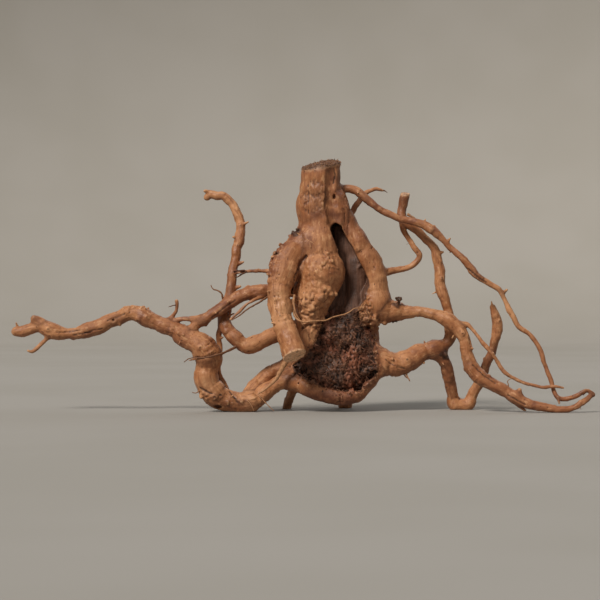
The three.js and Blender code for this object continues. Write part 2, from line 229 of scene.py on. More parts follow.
TWIGS = {
    "tip_knob": [[-256, 6, 84, 5], [-261, 5, 90, 4.4], [-266, 4, 92.5, 3.6]],
    "tip_twig": [
        [-250, 4, 76, 2.6], [-257, 2, 69, 2], [-261, 0, 64, 1.9], [-267, -2, 59.5, 1.9],
        [-271, -3, 60.5, 1.3],
    ],
    "peg": [
        [-134, -5, 88, 2.6], [-126, -6, 97, 1.8], [-123, -7, 101, 1.7], [-122.5, -7, 107, 1.6],
        [-123, -7, 110, 1.8],
    ],
    "knee_twig": [
        [-100, -14, 56, 2.2], [-86, -15, 54, 1.5], [-79, -13, 57, 1.4], [-71, -12, 61, 1.4],
        [-60, -8, 66, 1.6],
    ],
    "upper_twig": [
        [-31, -6, 117, 2.2], [-46, -16, 111, 1.6], [-54, -17, 106, 1.5], [-61, -17, 99, 1.5],
        [-69, -16, 92, 1.5],
    ],
    "side_twig": [
        [-2, 12, 137, 3], [-20, 10, 139, 2], [-35, 12, 140, 1.7], [-51, 14, 140, 1.6],
        [-68, 13, 139, 1.6],
    ],
    "outer_spike": [[205, -19, 18, 3], [213, -18, 9, 2.2], [222, -17, 2, 1.2]],
    "outer_peg": [[215, -20, 14, 3], [216, -21, 22, 2]],
}


# ---------------------------------------------------------------- noise

def lattice(seed):
    return np.random.default_rng(SEED + seed).uniform(-1, 1, (32, 32, 32)).astype(np.float32)


def noise(points, size, seed):
    """Smooth noise from -1 to 1. size is one blob's size, or three sizes, in millimetres."""
    table = lattice(seed)
    spot = np.asarray(points, np.float32) / np.asarray(size, np.float32) + 0.37 * seed
    cell = np.floor(spot).astype(np.int32)
    part = spot - cell
    ease = part * part * (3 - 2 * part)
    total = np.zeros(len(spot), np.float32)
    for corner in itertools.product((0, 1), repeat=3):
        index = (cell + np.array(corner)) & 31
        weight = np.prod(np.where(np.array(corner) == 1, ease, 1 - ease), axis=1)
        total += weight * table[index[:, 0], index[:, 1], index[:, 2]]
    return total


def rough(points, size, seed, octaves=4):
    """Noise in octaves, each half the size and half the height of the one before."""
    size = np.asarray(size, np.float32)
    return sum(noise(points, size / 2**k, seed + k) / 2**k for k in range(octaves))


def creases(points, size, seed):
    """0 along thin winding lines, rising to about 1 between them."""
    return np.clip(2.2 * np.abs(noise(points, size, seed)), 0, 1)


def smooth_step(value, low, high):
    share = np.clip((value - low) / (high - low), 0, 1)
    return share * share * (3 - 2 * share)


# ---------------------------------------------------------------- laying the roots into the field

def resampled(course, spacing):
    """The course as close stations on one smooth curve: places and the two radii."""
    stations = np.array([list(s) + [s[3]] * (5 - len(s)) for s in course], float)
    padded = np.vstack([2 * stations[0] - stations[1], stations, 2 * stations[-1] - stations[-2]])
    rows = []
    for before, start, end, after in zip(padded, padded[1:], padded[2:], padded[3:]):
        count = max(1, round(float(np.linalg.norm(end[:3] - start[:3])) / spacing))
        for t in np.arange(count) / count:
            pull = (end - before) * t + (2 * before - 5 * start + 4 * end - after) * t**2
            pull += (3 * start - before - 3 * end + after) * t**3
            rows.append(start + 0.5 * pull)
    rows.append(stations[-1])
    rows = np.array(rows)
    rows[:, 3:] = np.maximum(rows[:, 3:], 0.6)
    return rows[:, :3], rows[:, 3:]


def crooked(places, radii, seed):
    """Small kinks and swellings, more of them in thin roots, fading out at both ends."""
    along = np.concatenate([[0], np.cumsum(np.linalg.norm(np.diff(places, axis=0), axis=1))])
    ends = np.minimum(along, along[-1] - along)
    fade = smooth_step(ends, 0, 12)[:, None]
    track = np.stack([along, np.full_like(along, 3.1 * seed), np.zeros_like(along)], axis=1)
    sway = np.stack([rough(track, 13, 40 + axis, 3) for axis in range(3)], axis=1)
    swell = 1 + 0.11 * rough(track, 11, 44, 3)[:, None] * fade
    reach = np.clip(1.0 - 0.05 * radii[:, :1], 0.2, 0.8)
    return places + sway * reach * fade, radii * swell


class Limb:
    """One root: its stations, the length along it, and axes across it that turn as little as may be."""

    def __init__(self, name, course, seed):
        self.name = name
        self.places, self.radii = crooked(*resampled(course, 2.6), seed)
        steps = np.diff(self.places, axis=0)
        self.along = np.concatenate([[0], np.cumsum(np.linalg.norm(steps, axis=1))])
        tangents = np.gradient(self.places, axis=0)
        tangents /= np.linalg.norm(tangents, axis=1)[:, None]
        across = [np.array([0.3, 1.0, 0.2])]
        for tangent in tangents:
            side = across[-1] - tangent * (across[-1] @ tangent)
            across.append(side / np.linalg.norm(side))
        self.across = np.array(across[1:])
        self.turned = np.cross(tangents, self.across)

    def skin_place(self, station, turn, depth=0.0):
        """A point on the root's side, turned round it, and so deep under the surface."""
        out = math.cos(turn) * self.across[station] + math.sin(turn) * self.turned[station]
        return self.places[station] + out * (self.radii[station, 0] - depth)


class Wood:
    """The field: for every voxel, the distance to the wood and which stretch of which root is nearest."""

    def __init__(self, low, high):
        self.low = np.array(low, float)
        self.shape = tuple(np.ceil((np.array(high) - self.low) / VOXEL).astype(int) + 1)
        self.distance = np.full(self.shape, BAND, np.float32)
        self.stretch = np.full(self.shape, -1, np.int32)
        self.margin = np.full(self.shape, BAND, np.float32)

    def window(self, low, high):
        first = np.maximum(np.floor((low - self.low) / VOXEL).astype(int), 0)
        last = np.minimum(np.ceil((high - self.low) / VOXEL).astype(int) + 1, self.shape)
        return tuple(slice(a, max(a, b)) for a, b in zip(first, last))

    def axes(self, window):
        """Open x, y and z of the window's voxels."""
        spans = [np.arange(s.start, s.stop) * VOXEL + low for s, low in zip(window, self.low)]
        x, y, z = (span.astype(np.float32) for span in spans)
        return x[:, None, None], y[None, :, None], z[None, None, :]

    def add(self, limb, first_stretch, join):
        """Lays a limb in. join is how softly it flows out of the wood at its two ends."""
        widest = limb.radii.max() + BAND
        whole = self.window(limb.places.min(0) - widest, limb.places.max(0) + widest)
        corner = np.array([s.start for s in whole])
        distance = np.full([s.stop - s.start for s in whole], BAND, np.float32)
        stretch = np.full(distance.shape, -1, np.int32)
        for i, (start, end) in enumerate(zip(limb.places, limb.places[1:])):
            reach = limb.radii[i : i + 2].max() + BAND
            part = self.window(np.minimum(start, end) - reach, np.maximum(start, end) + reach)
            near = stretch_distance(self.axes(part), start, end, limb.radii[i], limb.radii[i + 1])
            here = tuple(slice(s.start - c, s.stop - c) for s, c in zip(part, corner))
            closer = near < distance[here]
            distance[here] = np.where(closer, near, distance[here])
            stretch[here] = np.where(closer, first_stretch + i, stretch[here])
        old = self.distance[whole]
        nearer = distance < old
        gap = np.abs(old - distance)
        self.margin[whole] = np.where(nearer, gap, np.minimum(self.margin[whole], gap))
        self.stretch[whole] = np.where(nearer, stretch, self.stretch[whole])
        self.distance[whole] = soft_least(old, distance, softness(self.axes(whole), limb, join))

    def raise_lump(self, place, size, soft=0.8):
        """Adds a ball, or an egg if size has three numbers."""
        part = self.window(place - np.max(size) - 3, place + np.max(size) + 3)
        near = egg_distance(self.axes(part), place, size)
        self.distance[part] = soft_least(self.distance[part], near, np.float32(soft))

    def hollow(self, place, size, soft=0.4):
        """Takes a ball or an egg out."""
        part = self.window(place - np.max(size) - 3, place + np.max(size) + 3)
        near = egg_distance(self.axes(part), place, size)
        self.distance[part] = -soft_least(-self.distance[part], near, np.float32(soft))

    def cut(self, tool, soft=0.3):
        """Takes out all that lies inside a tool: a distance from open axes, and its box's corners."""
        measure, low, high = tool
        part = self.window(np.array(low) - 2, np.array(high) + 2)
        away = measure(*self.axes(part)).astype(np.float32)
        self.distance[part] = -soft_least(-self.distance[part], away, np.float32(soft))

    def front(self, x, z):
        """Where the wood's front face is at x and z, or None beside the wood."""
        i, k = (round((value - low) / VOXEL) for value, low in ((x, self.low[0]), (z, self.low[2])))
        column = self.distance[i, :, k]
        inside = np.nonzero(column < 0)[0]
        if not len(inside) or inside[0] == 0:
            return None
        j = inside[0]
        share = column[j - 1] / (column[j - 1] - column[j])
        return np.array([x, self.low[1] + (j - 1 + share) * VOXEL, z])

    def at(self, points, grid):
        """The grid's value at points, weighed between the eight voxels round each."""
        spot = (points - self.low) / VOXEL
        cell = np.clip(np.floor(spot).astype(int), 0, np.array(self.shape) - 2)
        part = np.clip(spot - cell, 0, 1)
        total = np.zeros(len(points))
        for corner in itertools.product((0, 1), repeat=3):
            index = tuple((cell + np.array(corner)).T)
            weight = np.prod(np.where(np.array(corner) == 1, part, 1 - part), axis=1)
            total += weight * grid[index]
        return total

    def nearest(self, points, grid):
        index = np.round((points - self.low) / VOXEL).astype(int)
        return grid[tuple(np.clip(index, 0, np.array(self.shape) - 1).T)]


def stretch_distance(axes, start, end, near_radii, far_radii):
    """Distance to a tapered stretch between two stations, flattened front to back if its radii say so."""
    x, y, z = (axis - np.float32(s) for axis, s in zip(axes, start))
    dx, dy, dz = (np.float32(v) for v in end - start)
    share = np.clip((x * dx + y * dy + z * dz) / (dx * dx + dy * dy + dz * dz), 0, 1)
    flat = np.float32((near_radii[0] + far_radii[0]) / (near_radii[1] + far_radii[1]))
    across = (x - share * dx) ** 2 + ((y - share * dy) * flat) ** 2 + (z - share * dz) ** 2
    radius = np.float32(near_radii[0]) + share * np.float32(far_radii[0] - near_radii[0])
    return (np.sqrt(across) - radius) / max(1.0, 0.8 * float(flat))


def egg_distance(axes, place, size):
    size = np.broadcast_to(np.asarray(size, np.float32), 3)
    parts = ((axis - np.float32(p)) / s for axis, p, s in zip(axes, place, size))
    return ((np.sqrt(sum(p * p for p in parts)) - 1) * size.min()).astype(np.float32)


def soft_least(a, b, soft):
    """The lesser of two distances, with a fillet where they are nearly the same."""
    share = np.clip(0.5 + 0.5 * (b - a) / soft, 0, 1)
    return b + (a - b) * share - soft * share * (1 - share)


def softness(axes, limb, join):
    x, y, z = axes
    soft = np.float32(0.3)
    for end, weight in ((0, join[0]), (-1, join[1])):
        place, radius = limb.places[end], limb.radii[end, 0]
        away = np.sqrt((x - place[0]) ** 2 + (y - place[1]) ** 2 + (z - place[2]) ** 2)
        reach = 2.4 * radius + 14
        soft = soft + np.float32(weight) * (1 - smooth_step(away, 0.35 * reach, reach))
    return soft.astype(np.float32)


# ---------------------------------------------------------------- the wood's shape

# The open mouth in the trunk's front, from the slit under the stem down to the rotted heart:
# [height, left edge, right edge]
MOUTH = [
    [187, 33, 36], [184, 30, 40.5], [181, 29, 41.5], [173, 31.5, 45.5], [164, 35.5, 51.5],
    [154, 38.5, 56], [148, 42.5, 59], [141, 44.5, 63], [131, 43.5, 67.5], [125, 40.5, 68.5],
    [119, 37.5, 65.5], [112, 33, 65], [103, 28, 57], [98, 26, 57], [89, 21, 60], [84, 20, 69],
    [76, 17, 71], [66, 12, 71], [55, 5, 73], [46, -8, 76], [39, -6, 76.5], [33, 3, 73], [28, 12, 68],
    [24, 24, 64], [20, 40, 60],
]
MOUTH_DEPTH = 5.0
CRUMBLING_END = (62, 97)  # where the right leg ends in torn crumbs beside the mouth, as [x, z]
WORM_PATCH = ((14, 213), (14, 19))  # the worm-eaten patch on the stem: middle and half size

# The bowl of wood behind the mouth, and the rot in it: middle and size
BOWL = ((37, 11, 67), (42, 17, 60))
ROT = ((37, -1, 60), (37, 15, 41))
ROT_TOP = 97.0  # the rotted heart begins here, under the smooth inner wood

# Saw cuts: a point on the cut, the way it faces, how far it reaches, and how grey it has gone
SAW_CUTS = {
    "stem_top": ((20, 0, 246.5), (-0.17, -0.19, 1.0), 40, 1.0),
    "arm_end": ((-6, -46, 56), (0.30, -0.42, -0.86), 17, 0.0),
    "riser_top": ((106, 15, 218), (0.1, -0.3, 1.0), 9, 0.4),
    "stub_end": ((18, 61, 137), (-0.2, 0.7, 0.5), 13, 0.6),
}

# Holes into the wood: middle and size
HOLES = {
    "stem_hole": ((33.5, -16, 213), (1.9, 5, 3.4)),
    "arm_knot": ((-23, -25, 157), (2, 4, 2.2)),
    "heart_hole_left": ((-3.5, 0, 43), (2.8, 9, 2.8)),
    "heart_hole_right": ((3, -2, 39), (3.0, 9, 3.0)),
    "heart_hole_top": ((22, -12, 80), (4.5, 6, 3.5)),
    "heart_hole_middle": ((46, -14, 64), (3.4, 5, 2.6)),
    "foot_hole": ((-82.5, -14, 5), (4.5, 7, 2.3)),
    "branch_hole": ((-186, -7, 91), (1.6, 3, 1.2)),
}
HEART_HOLLOW = ((24, -36, 58), (32, 28, 32))

# Grooves on the front face: the way they run as [x, z], their width and their depth
GROOVES = {
    "stem_valley": ([[31, 208], [32, 200], [34, 191], [36, 184]], 10.0, 3.4),
    "upper_valley": ([[34, 236], [32, 222], [32, 208]], 11.0, 0.9),
    "stem_crack": ([[33.5, 241], [34, 233], [32.5, 226]], 1.1, 1.1),
    "burl_edge": ([[6, 154], [0, 147], [-4, 138], [-7, 128], [-8, 118]], 1.8, 2.4),
    "burl_fold": ([[1, 83], [5, 85.5], [11, 86.5], [20, 88.5]], 1.5, 1.7),
    "burl_step": ([[10, 86], [8, 78], [9, 70]], 1.0, 0.9),
    "knee_lip": ([[-103, 54.5], [-96, 54], [-89, 56], [-83, 59]], 1.0, 0.6),
    "foot_fold": ([[-99, 24], [-91, 20], [-84, 17], [-78, 17]], 1.2, 1.0),
    "foot_mark": ([[-70, 20], [-64, 13], [-60, 8]], 1.1, 0.9),
    "branch_crack": ([[-192, 90.5], [-184, 93], [-175, 97], [-169, 99]], 0.9, 0.9),
    "branch_low_crack": ([[-214, 77.5], [-205, 81], [-197, 82.5]], 0.9, 0.9),
    "far_branch_crack": ([[-243, 79], [-236, 78.5], [-228, 80], [-219, 81]], 0.9, 0.9),
    "far_low_crack": ([[-226, 76], [-218, 77], [-212, 79]], 0.9, 0.8),
    "thin_root_cleft": ([[166, 142], [172, 137], [177, 133], [184, 128]], 1.0, 1.1),
    "outer_crack": ([[204, 17], [212, 13], [221, 8]], 1.0, 0.9),
    "outer_root_crack": ([[170, 47], [180, 37], [192, 29]], 0.9, 0.8),
    "fork_crack": ([[-88, 93], [-76, 103], [-64, 111]], 0.9, 0.7),
    "low_root_crack": ([[84, 52], [94, 45], [104, 43]], 0.9, 0.7),
}

# Lumps on the front face: the way they run, how far they stray, how many, and least and most size
LUMPS = {
    "burl_swellings": ([[18, 104], [27, 120], [31, 136], [24, 150]], 13, 20, 2.4, 4.4),
    "burl_scattered": ([[4, 96], [8, 116], [14, 138]], 15, 120, 0.8, 2.0),
    "burl_pimples": ([[2, 88], [5, 98], [7, 108], [8, 120]], 9, 130, 1.0, 2.2),
    "burl_big_pimples": ([[8, 92], [14, 104], [22, 118]], 11, 22, 1.6, 2.6),
    "burl_top_pimples": ([[8, 132], [16, 146], [27, 154], [36, 140]], 12, 60, 0.7, 1.6),
    "shoulder_crust": ([[-3, 183], [-14, 174], [-22, 163], [-27, 150], [-30, 137]], 3.2, 190, 0.6, 1.5),
    "crumbling_end": ([[59, 106], [62, 98], [70, 93], [76, 85]], 6.5, 90, 1.3, 3.2),
    "crumbling_edge": ([[57, 108], [56, 100], [62, 91], [72, 82]], 2.5, 60, 0.8, 1.6),
    "mouth_crumbs": ([[69, 82], [73, 68], [74, 52], [73, 38]], 3.0, 46, 1.0, 2.2),
    "rim_crumbs": ([[64, 27], [50, 23], [34, 24], [14, 28], [0, 34]], 3.0, 50, 0.9, 2.0),
    "hump_bumps": ([[-178, 101], [-166, 105], [-152, 101]], 2.5, 14, 1.2, 2.4),
    "knee_bumps": ([[-108, 72], [-98, 66], [-86, 62]], 5.0, 3, 0.8, 1.4),
    "heel_bumps": ([[-96, 18], [-80, 10], [-58, 10], [-46, 16]], 5.0, 26, 1.0, 2.4),
    "slit_foot": ([[66, 118], [67, 110], [70, 104]], 2.2, 16, 1.2, 2.2),
}

# Single knots: [x, z, size], each a low ring round a small pit, painted dark as shade
KNOTS = [
    [-73.5, 80, 2.6], [129.5, 180, 3.0], [149, 58, 4.2], [192, 60, 3.2], [-5, 210, 4.5], [119, 100, 2.2],
    [-24, 111, 2.4], [-38, 122, 2.2], [-63, 166, 2.4], [-60, 186, 2.0], [-66, 139, 2.2], [-152, 94, 3.0],
    [-120, 78, 3.0], [-99, 64, 2.6], [-172, 99, 2.2], [-212, 82, 2.6], [-251, 82, 3.0], [142, 132, 2.4],
    [140, 150, 2.0], [160, 78, 2.8], [165, 52, 2.4], [106, 52, 2.6], [94, 46, 2.4], [204, 116, 1.8],
    [254, 15, 1.6], [-16, 107, 2.0], [-20, 96, 1.8], [-10, 68, 2.0], [186, 36, 2.2],
]

# Short spurs and broken twig ends on the front roots: [x, z, lean across, lean up, length, size]
SPURS = [
    [-58, 187, 1, 0.5, 4, 1.7], [-63, 147, 1, 0.4, 4, 2.0], [-66, 123, 1, 0.3, 4, 2.0],
    [-67, 139, 1, -0.1, 5, 1.8], [146, 168, 0.6, 1, 3, 1.7], [201, 118, 0.8, 0.7, 3, 1.7],
    [254, 14, 0.2, -1, 4, 1.2], [105, 38, 0.5, -1, 7, 1.6], [-102, 20, -1, 0.3, 6, 1.2],
    [-94, 6, -0.8, -0.3, 6, 1.1], [-31, 107, 0.1, -1, 5, 1.4], [150, 54, -0.9, 0.6, 7, 2.2],
    [193, 102, -0.2, 1, 6, 1.7], [-92, 220, -0.7, 0.2, 3, 2.4], [-283, 84, -0.3, 1, 3, 1.4],
    [104, 35, 0, -1, 5, 1.3], [-104, 53, -1, -0.3, 6, 1.0], [-63, 174, -1, 0.1, 3, 1.6],
    [139, 158, 1, 0.3, 2, 2.0], [143, 128, -1, 0.2, 3, 1.8], [108, 148, -0.2, -1, 4, 1.2],
    [-130, 75, 0.2, -1, 3, 1.6],
    [-94, 86, 0.8, 0.8, 6, 1.5], [-82, 72, 1, 0.4, 4, 1.4], [-6, 213, -1, 0.3, 4, 3.2],
    [-29, 136, -1, 0.1, 3, 1.4], [-29, 120, -1, -0.2, 3, 1.1], [-24, 88, -1, 0.2, 3, 1.2],
]

# Stretches that are stained darker: [x, z, width, height, strength]
STAINS = [
    [20, 244, 20, 8, 0.7], [38, 236, 4, 16, 0.7], [104, 212, 8, 14, 0.8], [175, 136, 14, 12, 0.8],
    [200, 120, 8, 8, 0.5], [150, 62, 10, 14, 0.6], [154, 36, 7, 22, 0.5], [92, 88, 14, 8, 0.6],
    [110, 38, 14, 7, 0.6], [-78, 12, 20, 12, 0.7], [-62, 6, 26, 7, 0.7], [-93, 50, 16, 9, 0.7],
    [-90, 26, 12, 16, 0.4], [-264, 92, 5, 4, 0.6], [-210, 78, 30, 8, 0.3], [-182, 90, 14, 9, 0.5],
    [-266, 60, 8, 6, 0.7], [-66, 66, 10, 12, 0.5], [-74, 90, 6, 12, 0.5], [-72, 124, 6, 14, 0.5],
    [-30, 118, 12, 6, 0.4], [30, 12, 46, 13, 0.9], [66, 30, 10, 14, 0.5], [-20, 36, 16, 8, 0.5],
    [86, 221, 8, 4, 0.9], [64, 212, 10, 12, 0.5], [120, 155, 8, 10, 0.5], [282, 20, 12, 8, 0.6],
    [252, 14, 8, 8, 0.6], [196, 108, 6, 6, 0.6], [192, 60, 8, 14, 0.4], [165, 50, 8, 14, 0.35],
    [20, 210, 16, 20, 0.35], [-22, 52, 8, 10, 0.4], [-122, 106, 5, 8, 0.6], [48, 190, 10, 16, 0.3],
]

# Dark scraps of bark that still cling on: [x, z, size]
SCRAPS = [
    [96, 107, 1.8], [97, 110, 1.8], [95, 112, 1.5], [99, 112.5, 1.5], [93, 90, 1.2],
    [97, 88.5, 1.2], [99.5, 90, 1.0],
    [-4, 179, 2.2], [-5, 176, 1.8], [144, 57, 2.0], [146, 53, 1.6],
]


def drawn(path, spacing):
    """The path's points, so far apart."""
    path = np.array(path, float)
    steps = np.linalg.norm(np.diff(path, axis=0), axis=1)
    along = np.concatenate([[0], np.cumsum(steps)])
    marks = np.arange(0, along[-1], spacing)
    return np.stack([np.interp(marks, along, axis) for axis in path.T], axis=1)


def mouth_distance(x, z):
    """How far outside the mouth's outline a place is, in the view from the front. Less than 0 inside."""
    heights, lefts, rights = np.array(MOUTH[::-1], float).T
    left, right = np.interp(z, heights, lefts), np.interp(z, heights, rights)
    ends = np.maximum(heights[0] - z, z - heights[-1])
    return np.maximum(np.maximum(left - x, x - right), ends)


def mouth_tool():
    def measure(x, y, z):
        ragged = 0.9 * np.sin(0.83 * z + 1.3 * np.sin(0.31 * z)) * np.sin(0.37 * x + 0.21 * z)
        edge = mouth_distance(x, z) + ragged * smooth_step(-z, -120, -90)
        return np.maximum(edge, y - MOUTH_DEPTH)

    heights, lefts, rights = np.array(MOUTH).T
    return measure, (lefts.min(), -45, heights.min()), (rights.max(), MOUTH_DEPTH, heights.max())


def saw_tool(point, facing, reach, age):
    """Everything past a saw cut, but no further than reach from its middle. The older, the more torn."""
    point = np.array(point, float)
    facing = np.array(facing, float) / np.linalg.norm(facing)

    def measure(x, y, z):
        parts = [a - p for a, p in zip((x, y, z), point)]
        fur = np.sin(1.7 * x + 1.1 * np.sin(1.3 * y)) * np.sin(1.2 * y + 1.3 * np.sin(0.9 * x))
        past = (0.3 + 0.9 * age) * fur - sum(p * f for p, f in zip(parts, facing))
        return np.maximum(past, np.sqrt(sum(p * p for p in parts)) - reach)

    return measure, point - reach, point + reach


class Scars:
    """The dark places, where they are and how far each reaches: holes, cracks, knot pits and pin holes,
    painted dark as shade, and crumbs of bark, which are dark bark.
    """

    def __init__(self):
        self.places, self.sizes = [], []

    def mark(self, place, size):
        self.places.append(place)
        self.sizes.append(size)

    def darkness(self, points):
        """1 in a scar, falling to 0 a little outside it."""
        tree = KDTree(len(self.places))
        for number, place in enumerate(self.places):
            tree.insert(place, number)
        tree.balance()
        dark = np.zeros(len(points))
        for row, point in enumerate(points):
            _, number, away = tree.find(point)
            if away < 9:
                dark[row] = away / self.sizes[number]
            else:
                dark[row] = 9
        return 1 - smooth_step(dark, 0.7, 1.25)


def shaped_wood():
    live = Wood(LOW + CENTRE - ROOM, HIGH + CENTRE + ROOM)
    dark = Wood((-20, -30, 0), (95, 40, 200))
    limbs, scars = [], Scars()
    lay_in(live, limbs, STUMP, 10)
    live.raise_lump(*(np.array(part, float) for part in BOWL), soft=5)
    live.cut(mouth_tool())
    lay_in(live, limbs, ARM, 13)
    for group in (RIGHT_ROOTS, LEFT_ROOTS, BACK_ROOTS, TWIGS):
        lay_in(live, limbs, group, 11)
    lay_in(dark, limbs, HEARTWOOD, 8)
    dark.raise_lump(*(np.array(part, float) for part in ROT), soft=5)
    dark.hollow(*(np.array(part, float) for part in HEART_HOLLOW), soft=2.5)
    roughen_front(live, scars)
    roughen_all_round(live, limbs, scars)
    for place, size in HOLES.values():
        for wood in (live, dark):
            wood.hollow(np.array(place, float), np.array(size, float))
        # Painted shade: each hole is marked to be coloured dark inside.
        scars.mark(place, 1.25 * min(size))
    for cut in SAW_CUTS.values():
        live.cut(saw_tool(*cut))
    return live, dark, limbs, scars


def lay_in(wood, limbs, group, softest):
    """Lays a group of roots into the field, and adds them to the list of limbs."""
    for name, course in group.items():
        limb = Limb(name, course, len(limbs))
        first = sum(len(other.places) - 1 for other in limbs)
        base, tip = limb.radii[0, 0], limb.radii[-1, 0]
        wood.add(limb, first, (min(softest, 0.9 * base), min(2.0, 0.5 * tip)))
        limbs.append(limb)


def roughen_front(live, scars):
    """The lumps, grooves, knots and spurs that the front is known by."""
    draw = np.random.default_rng(SEED)
    for path, stray, count, least, most in LUMPS.values():
        ways = drawn(path, 0.5)
        for _ in range(count):
            x, z = ways[draw.integers(len(ways))] + draw.normal(0, stray / 2, 2)
            size = least + (most - least) * draw.random() ** 1.6
            place = live.front(x, z)
            if place is not None and mouth_distance(x, z) > -0.8 * size:
                live.raise_lump(place + [0, 0.35 * size, 0], size)
    for path, width, depth in GROOVES.values():
        places = [live.front(x + draw.normal(0, 0.2), z) for x, z in drawn(path, 0.8)]
        for place in places:
            if place is None:
                continue
            live.hollow(place - [0, width - depth, 0], width)
            # Painted shade: the narrow grooves, the cracks, are marked to be coloured dark inside.
            if width < 3:
                scars.mark(place + [0, 0.4 * depth, 0], 0.75 * width)
    for x, z, size in KNOTS:
        place = live.front(x, z)
        if place is not None:
            add_knot(live, scars, place + [0, 0.45 * size, 0], np.array([0, -1, 0]), size)
    for x, z, size in SCRAPS:
        cling(live, scars, draw, x, z, size)
    for x, z, lean, up, length, size in SPURS:
        place = live.front(x, z)
        if place is not None:
            way = np.array([lean, -0.5, up]) / math.hypot(lean, 0.5, up)
            start = place + [0, 1.5 * size, 0]
            add_spur(live, start, way, length + 1.5 * size, size)


def cling(wood, scars, draw, x, z, size):
    """A few dark crumbs of bark, on the wood or just off its edge."""
    place = wood.front(x, z)
    if place is None:
        place = wood.front(x - 2, z - 4)
    if place is None:
        return
    place = np.array([x, place[1], z])
    for _ in range(6):
        crumb = place + draw.normal(0, 0.7 * size, 3)
        wood.raise_lump(crumb, draw.uniform(0.5, 0.9) * size)
        scars.mark(crumb, 1.5 * size)


def roughen_all_round(live, limbs, scars):
    """Scattered knots, stubs and pin holes on every side of the stouter roots."""
    draw = np.random.default_rng(SEED + 1)
    for limb in limbs:
        if limb.name in HEARTWOOD or limb.radii.max() < 3 or len(limb.places) < 9:
            continue
        for number in range(max(1, int(limb.along[-1] / 15))):
            station = draw.integers(3, len(limb.places) - 3)
            turn = draw.uniform(0, 2 * math.pi)
            size = draw.uniform(0.22, 0.42) * min(limb.radii[station, 0], 9)
            place = limb.skin_place(station, turn, 0.45 * size)
            out = (place - limb.places[station]) / np.linalg.norm(place - limb.places[station])
            if number % 3 == 0:
                add_knot(live, scars, place, out, size)
            elif number % 3 == 1:
                live.raise_lump(place, np.array([0.8, 0.8, 1.4]) * size, soft=1.6)
            else:
                add_spur(live, place, out + draw.normal(0, 0.4, 3), draw.uniform(2.0, 4.0), 0.4 * size)
        for _ in range(int(limb.along[-1] / 30)):
            station = draw.integers(3, len(limb.places) - 3)
            place = limb.skin_place(station, draw.uniform(0, 2 * math.pi))
            size = draw.uniform(0.6, 0.9)
            live.hollow(place, size)
            # Painted shade: each pin hole is marked to be coloured dark.
            scars.mark(place, size)


def add_knot(wood, scars, place, out, size):
    wood.raise_lump(place, size, soft=1.6)
    pit = place + out * size
    wood.hollow(pit, 0.3 * size)
    # Painted shade: the knot's pit is marked to be coloured dark.
    scars.mark(pit, 0.34 * size)


def add_spur(wood, start, way, length, size):
    for share in np.linspace(0, 1, 9):
        wood.raise_lump(start + way * length * share, size * (1 - 0.55 * share), soft=1.0)


# ---------------------------------------------------------------- the skin

def drawn_skin(distance, low):
    """The surface where the distance is 0, as points and four-sided faces."""
    grid = openvdb.FloatGrid(BAND)
    grid.copyFromArray(distance, tolerance=0.0)
    points, _, quads = grid.convertToPolygons(isovalue=0.0, adaptivity=0.0)
    return points * VOXEL + low, quads


def mesh_from(name, points, faces):
    mesh = bpy.data.meshes.new(name)
    mesh.vertices.add(len(points))
    mesh.vertices.foreach_set("co", np.asarray(points, np.float32).ravel())
    sides = faces.shape[1]
    mesh.loops.add(faces.size)
    mesh.loops.foreach_set("vertex_index", np.asarray(faces, np.int32).ravel())
    mesh.polygons.add(len(faces))
    mesh.polygons.foreach_set("loop_start", np.arange(0, faces.size, sides, dtype=np.int32))
    mesh.update(calc_edges=True)
    return mesh


def per_vertex(mesh, name):
    flat = np.empty(len(mesh.vertices) * 3, np.float32)
    mesh.vertices.foreach_get(name, flat)
    return flat.reshape(-1, 3).astype(float)


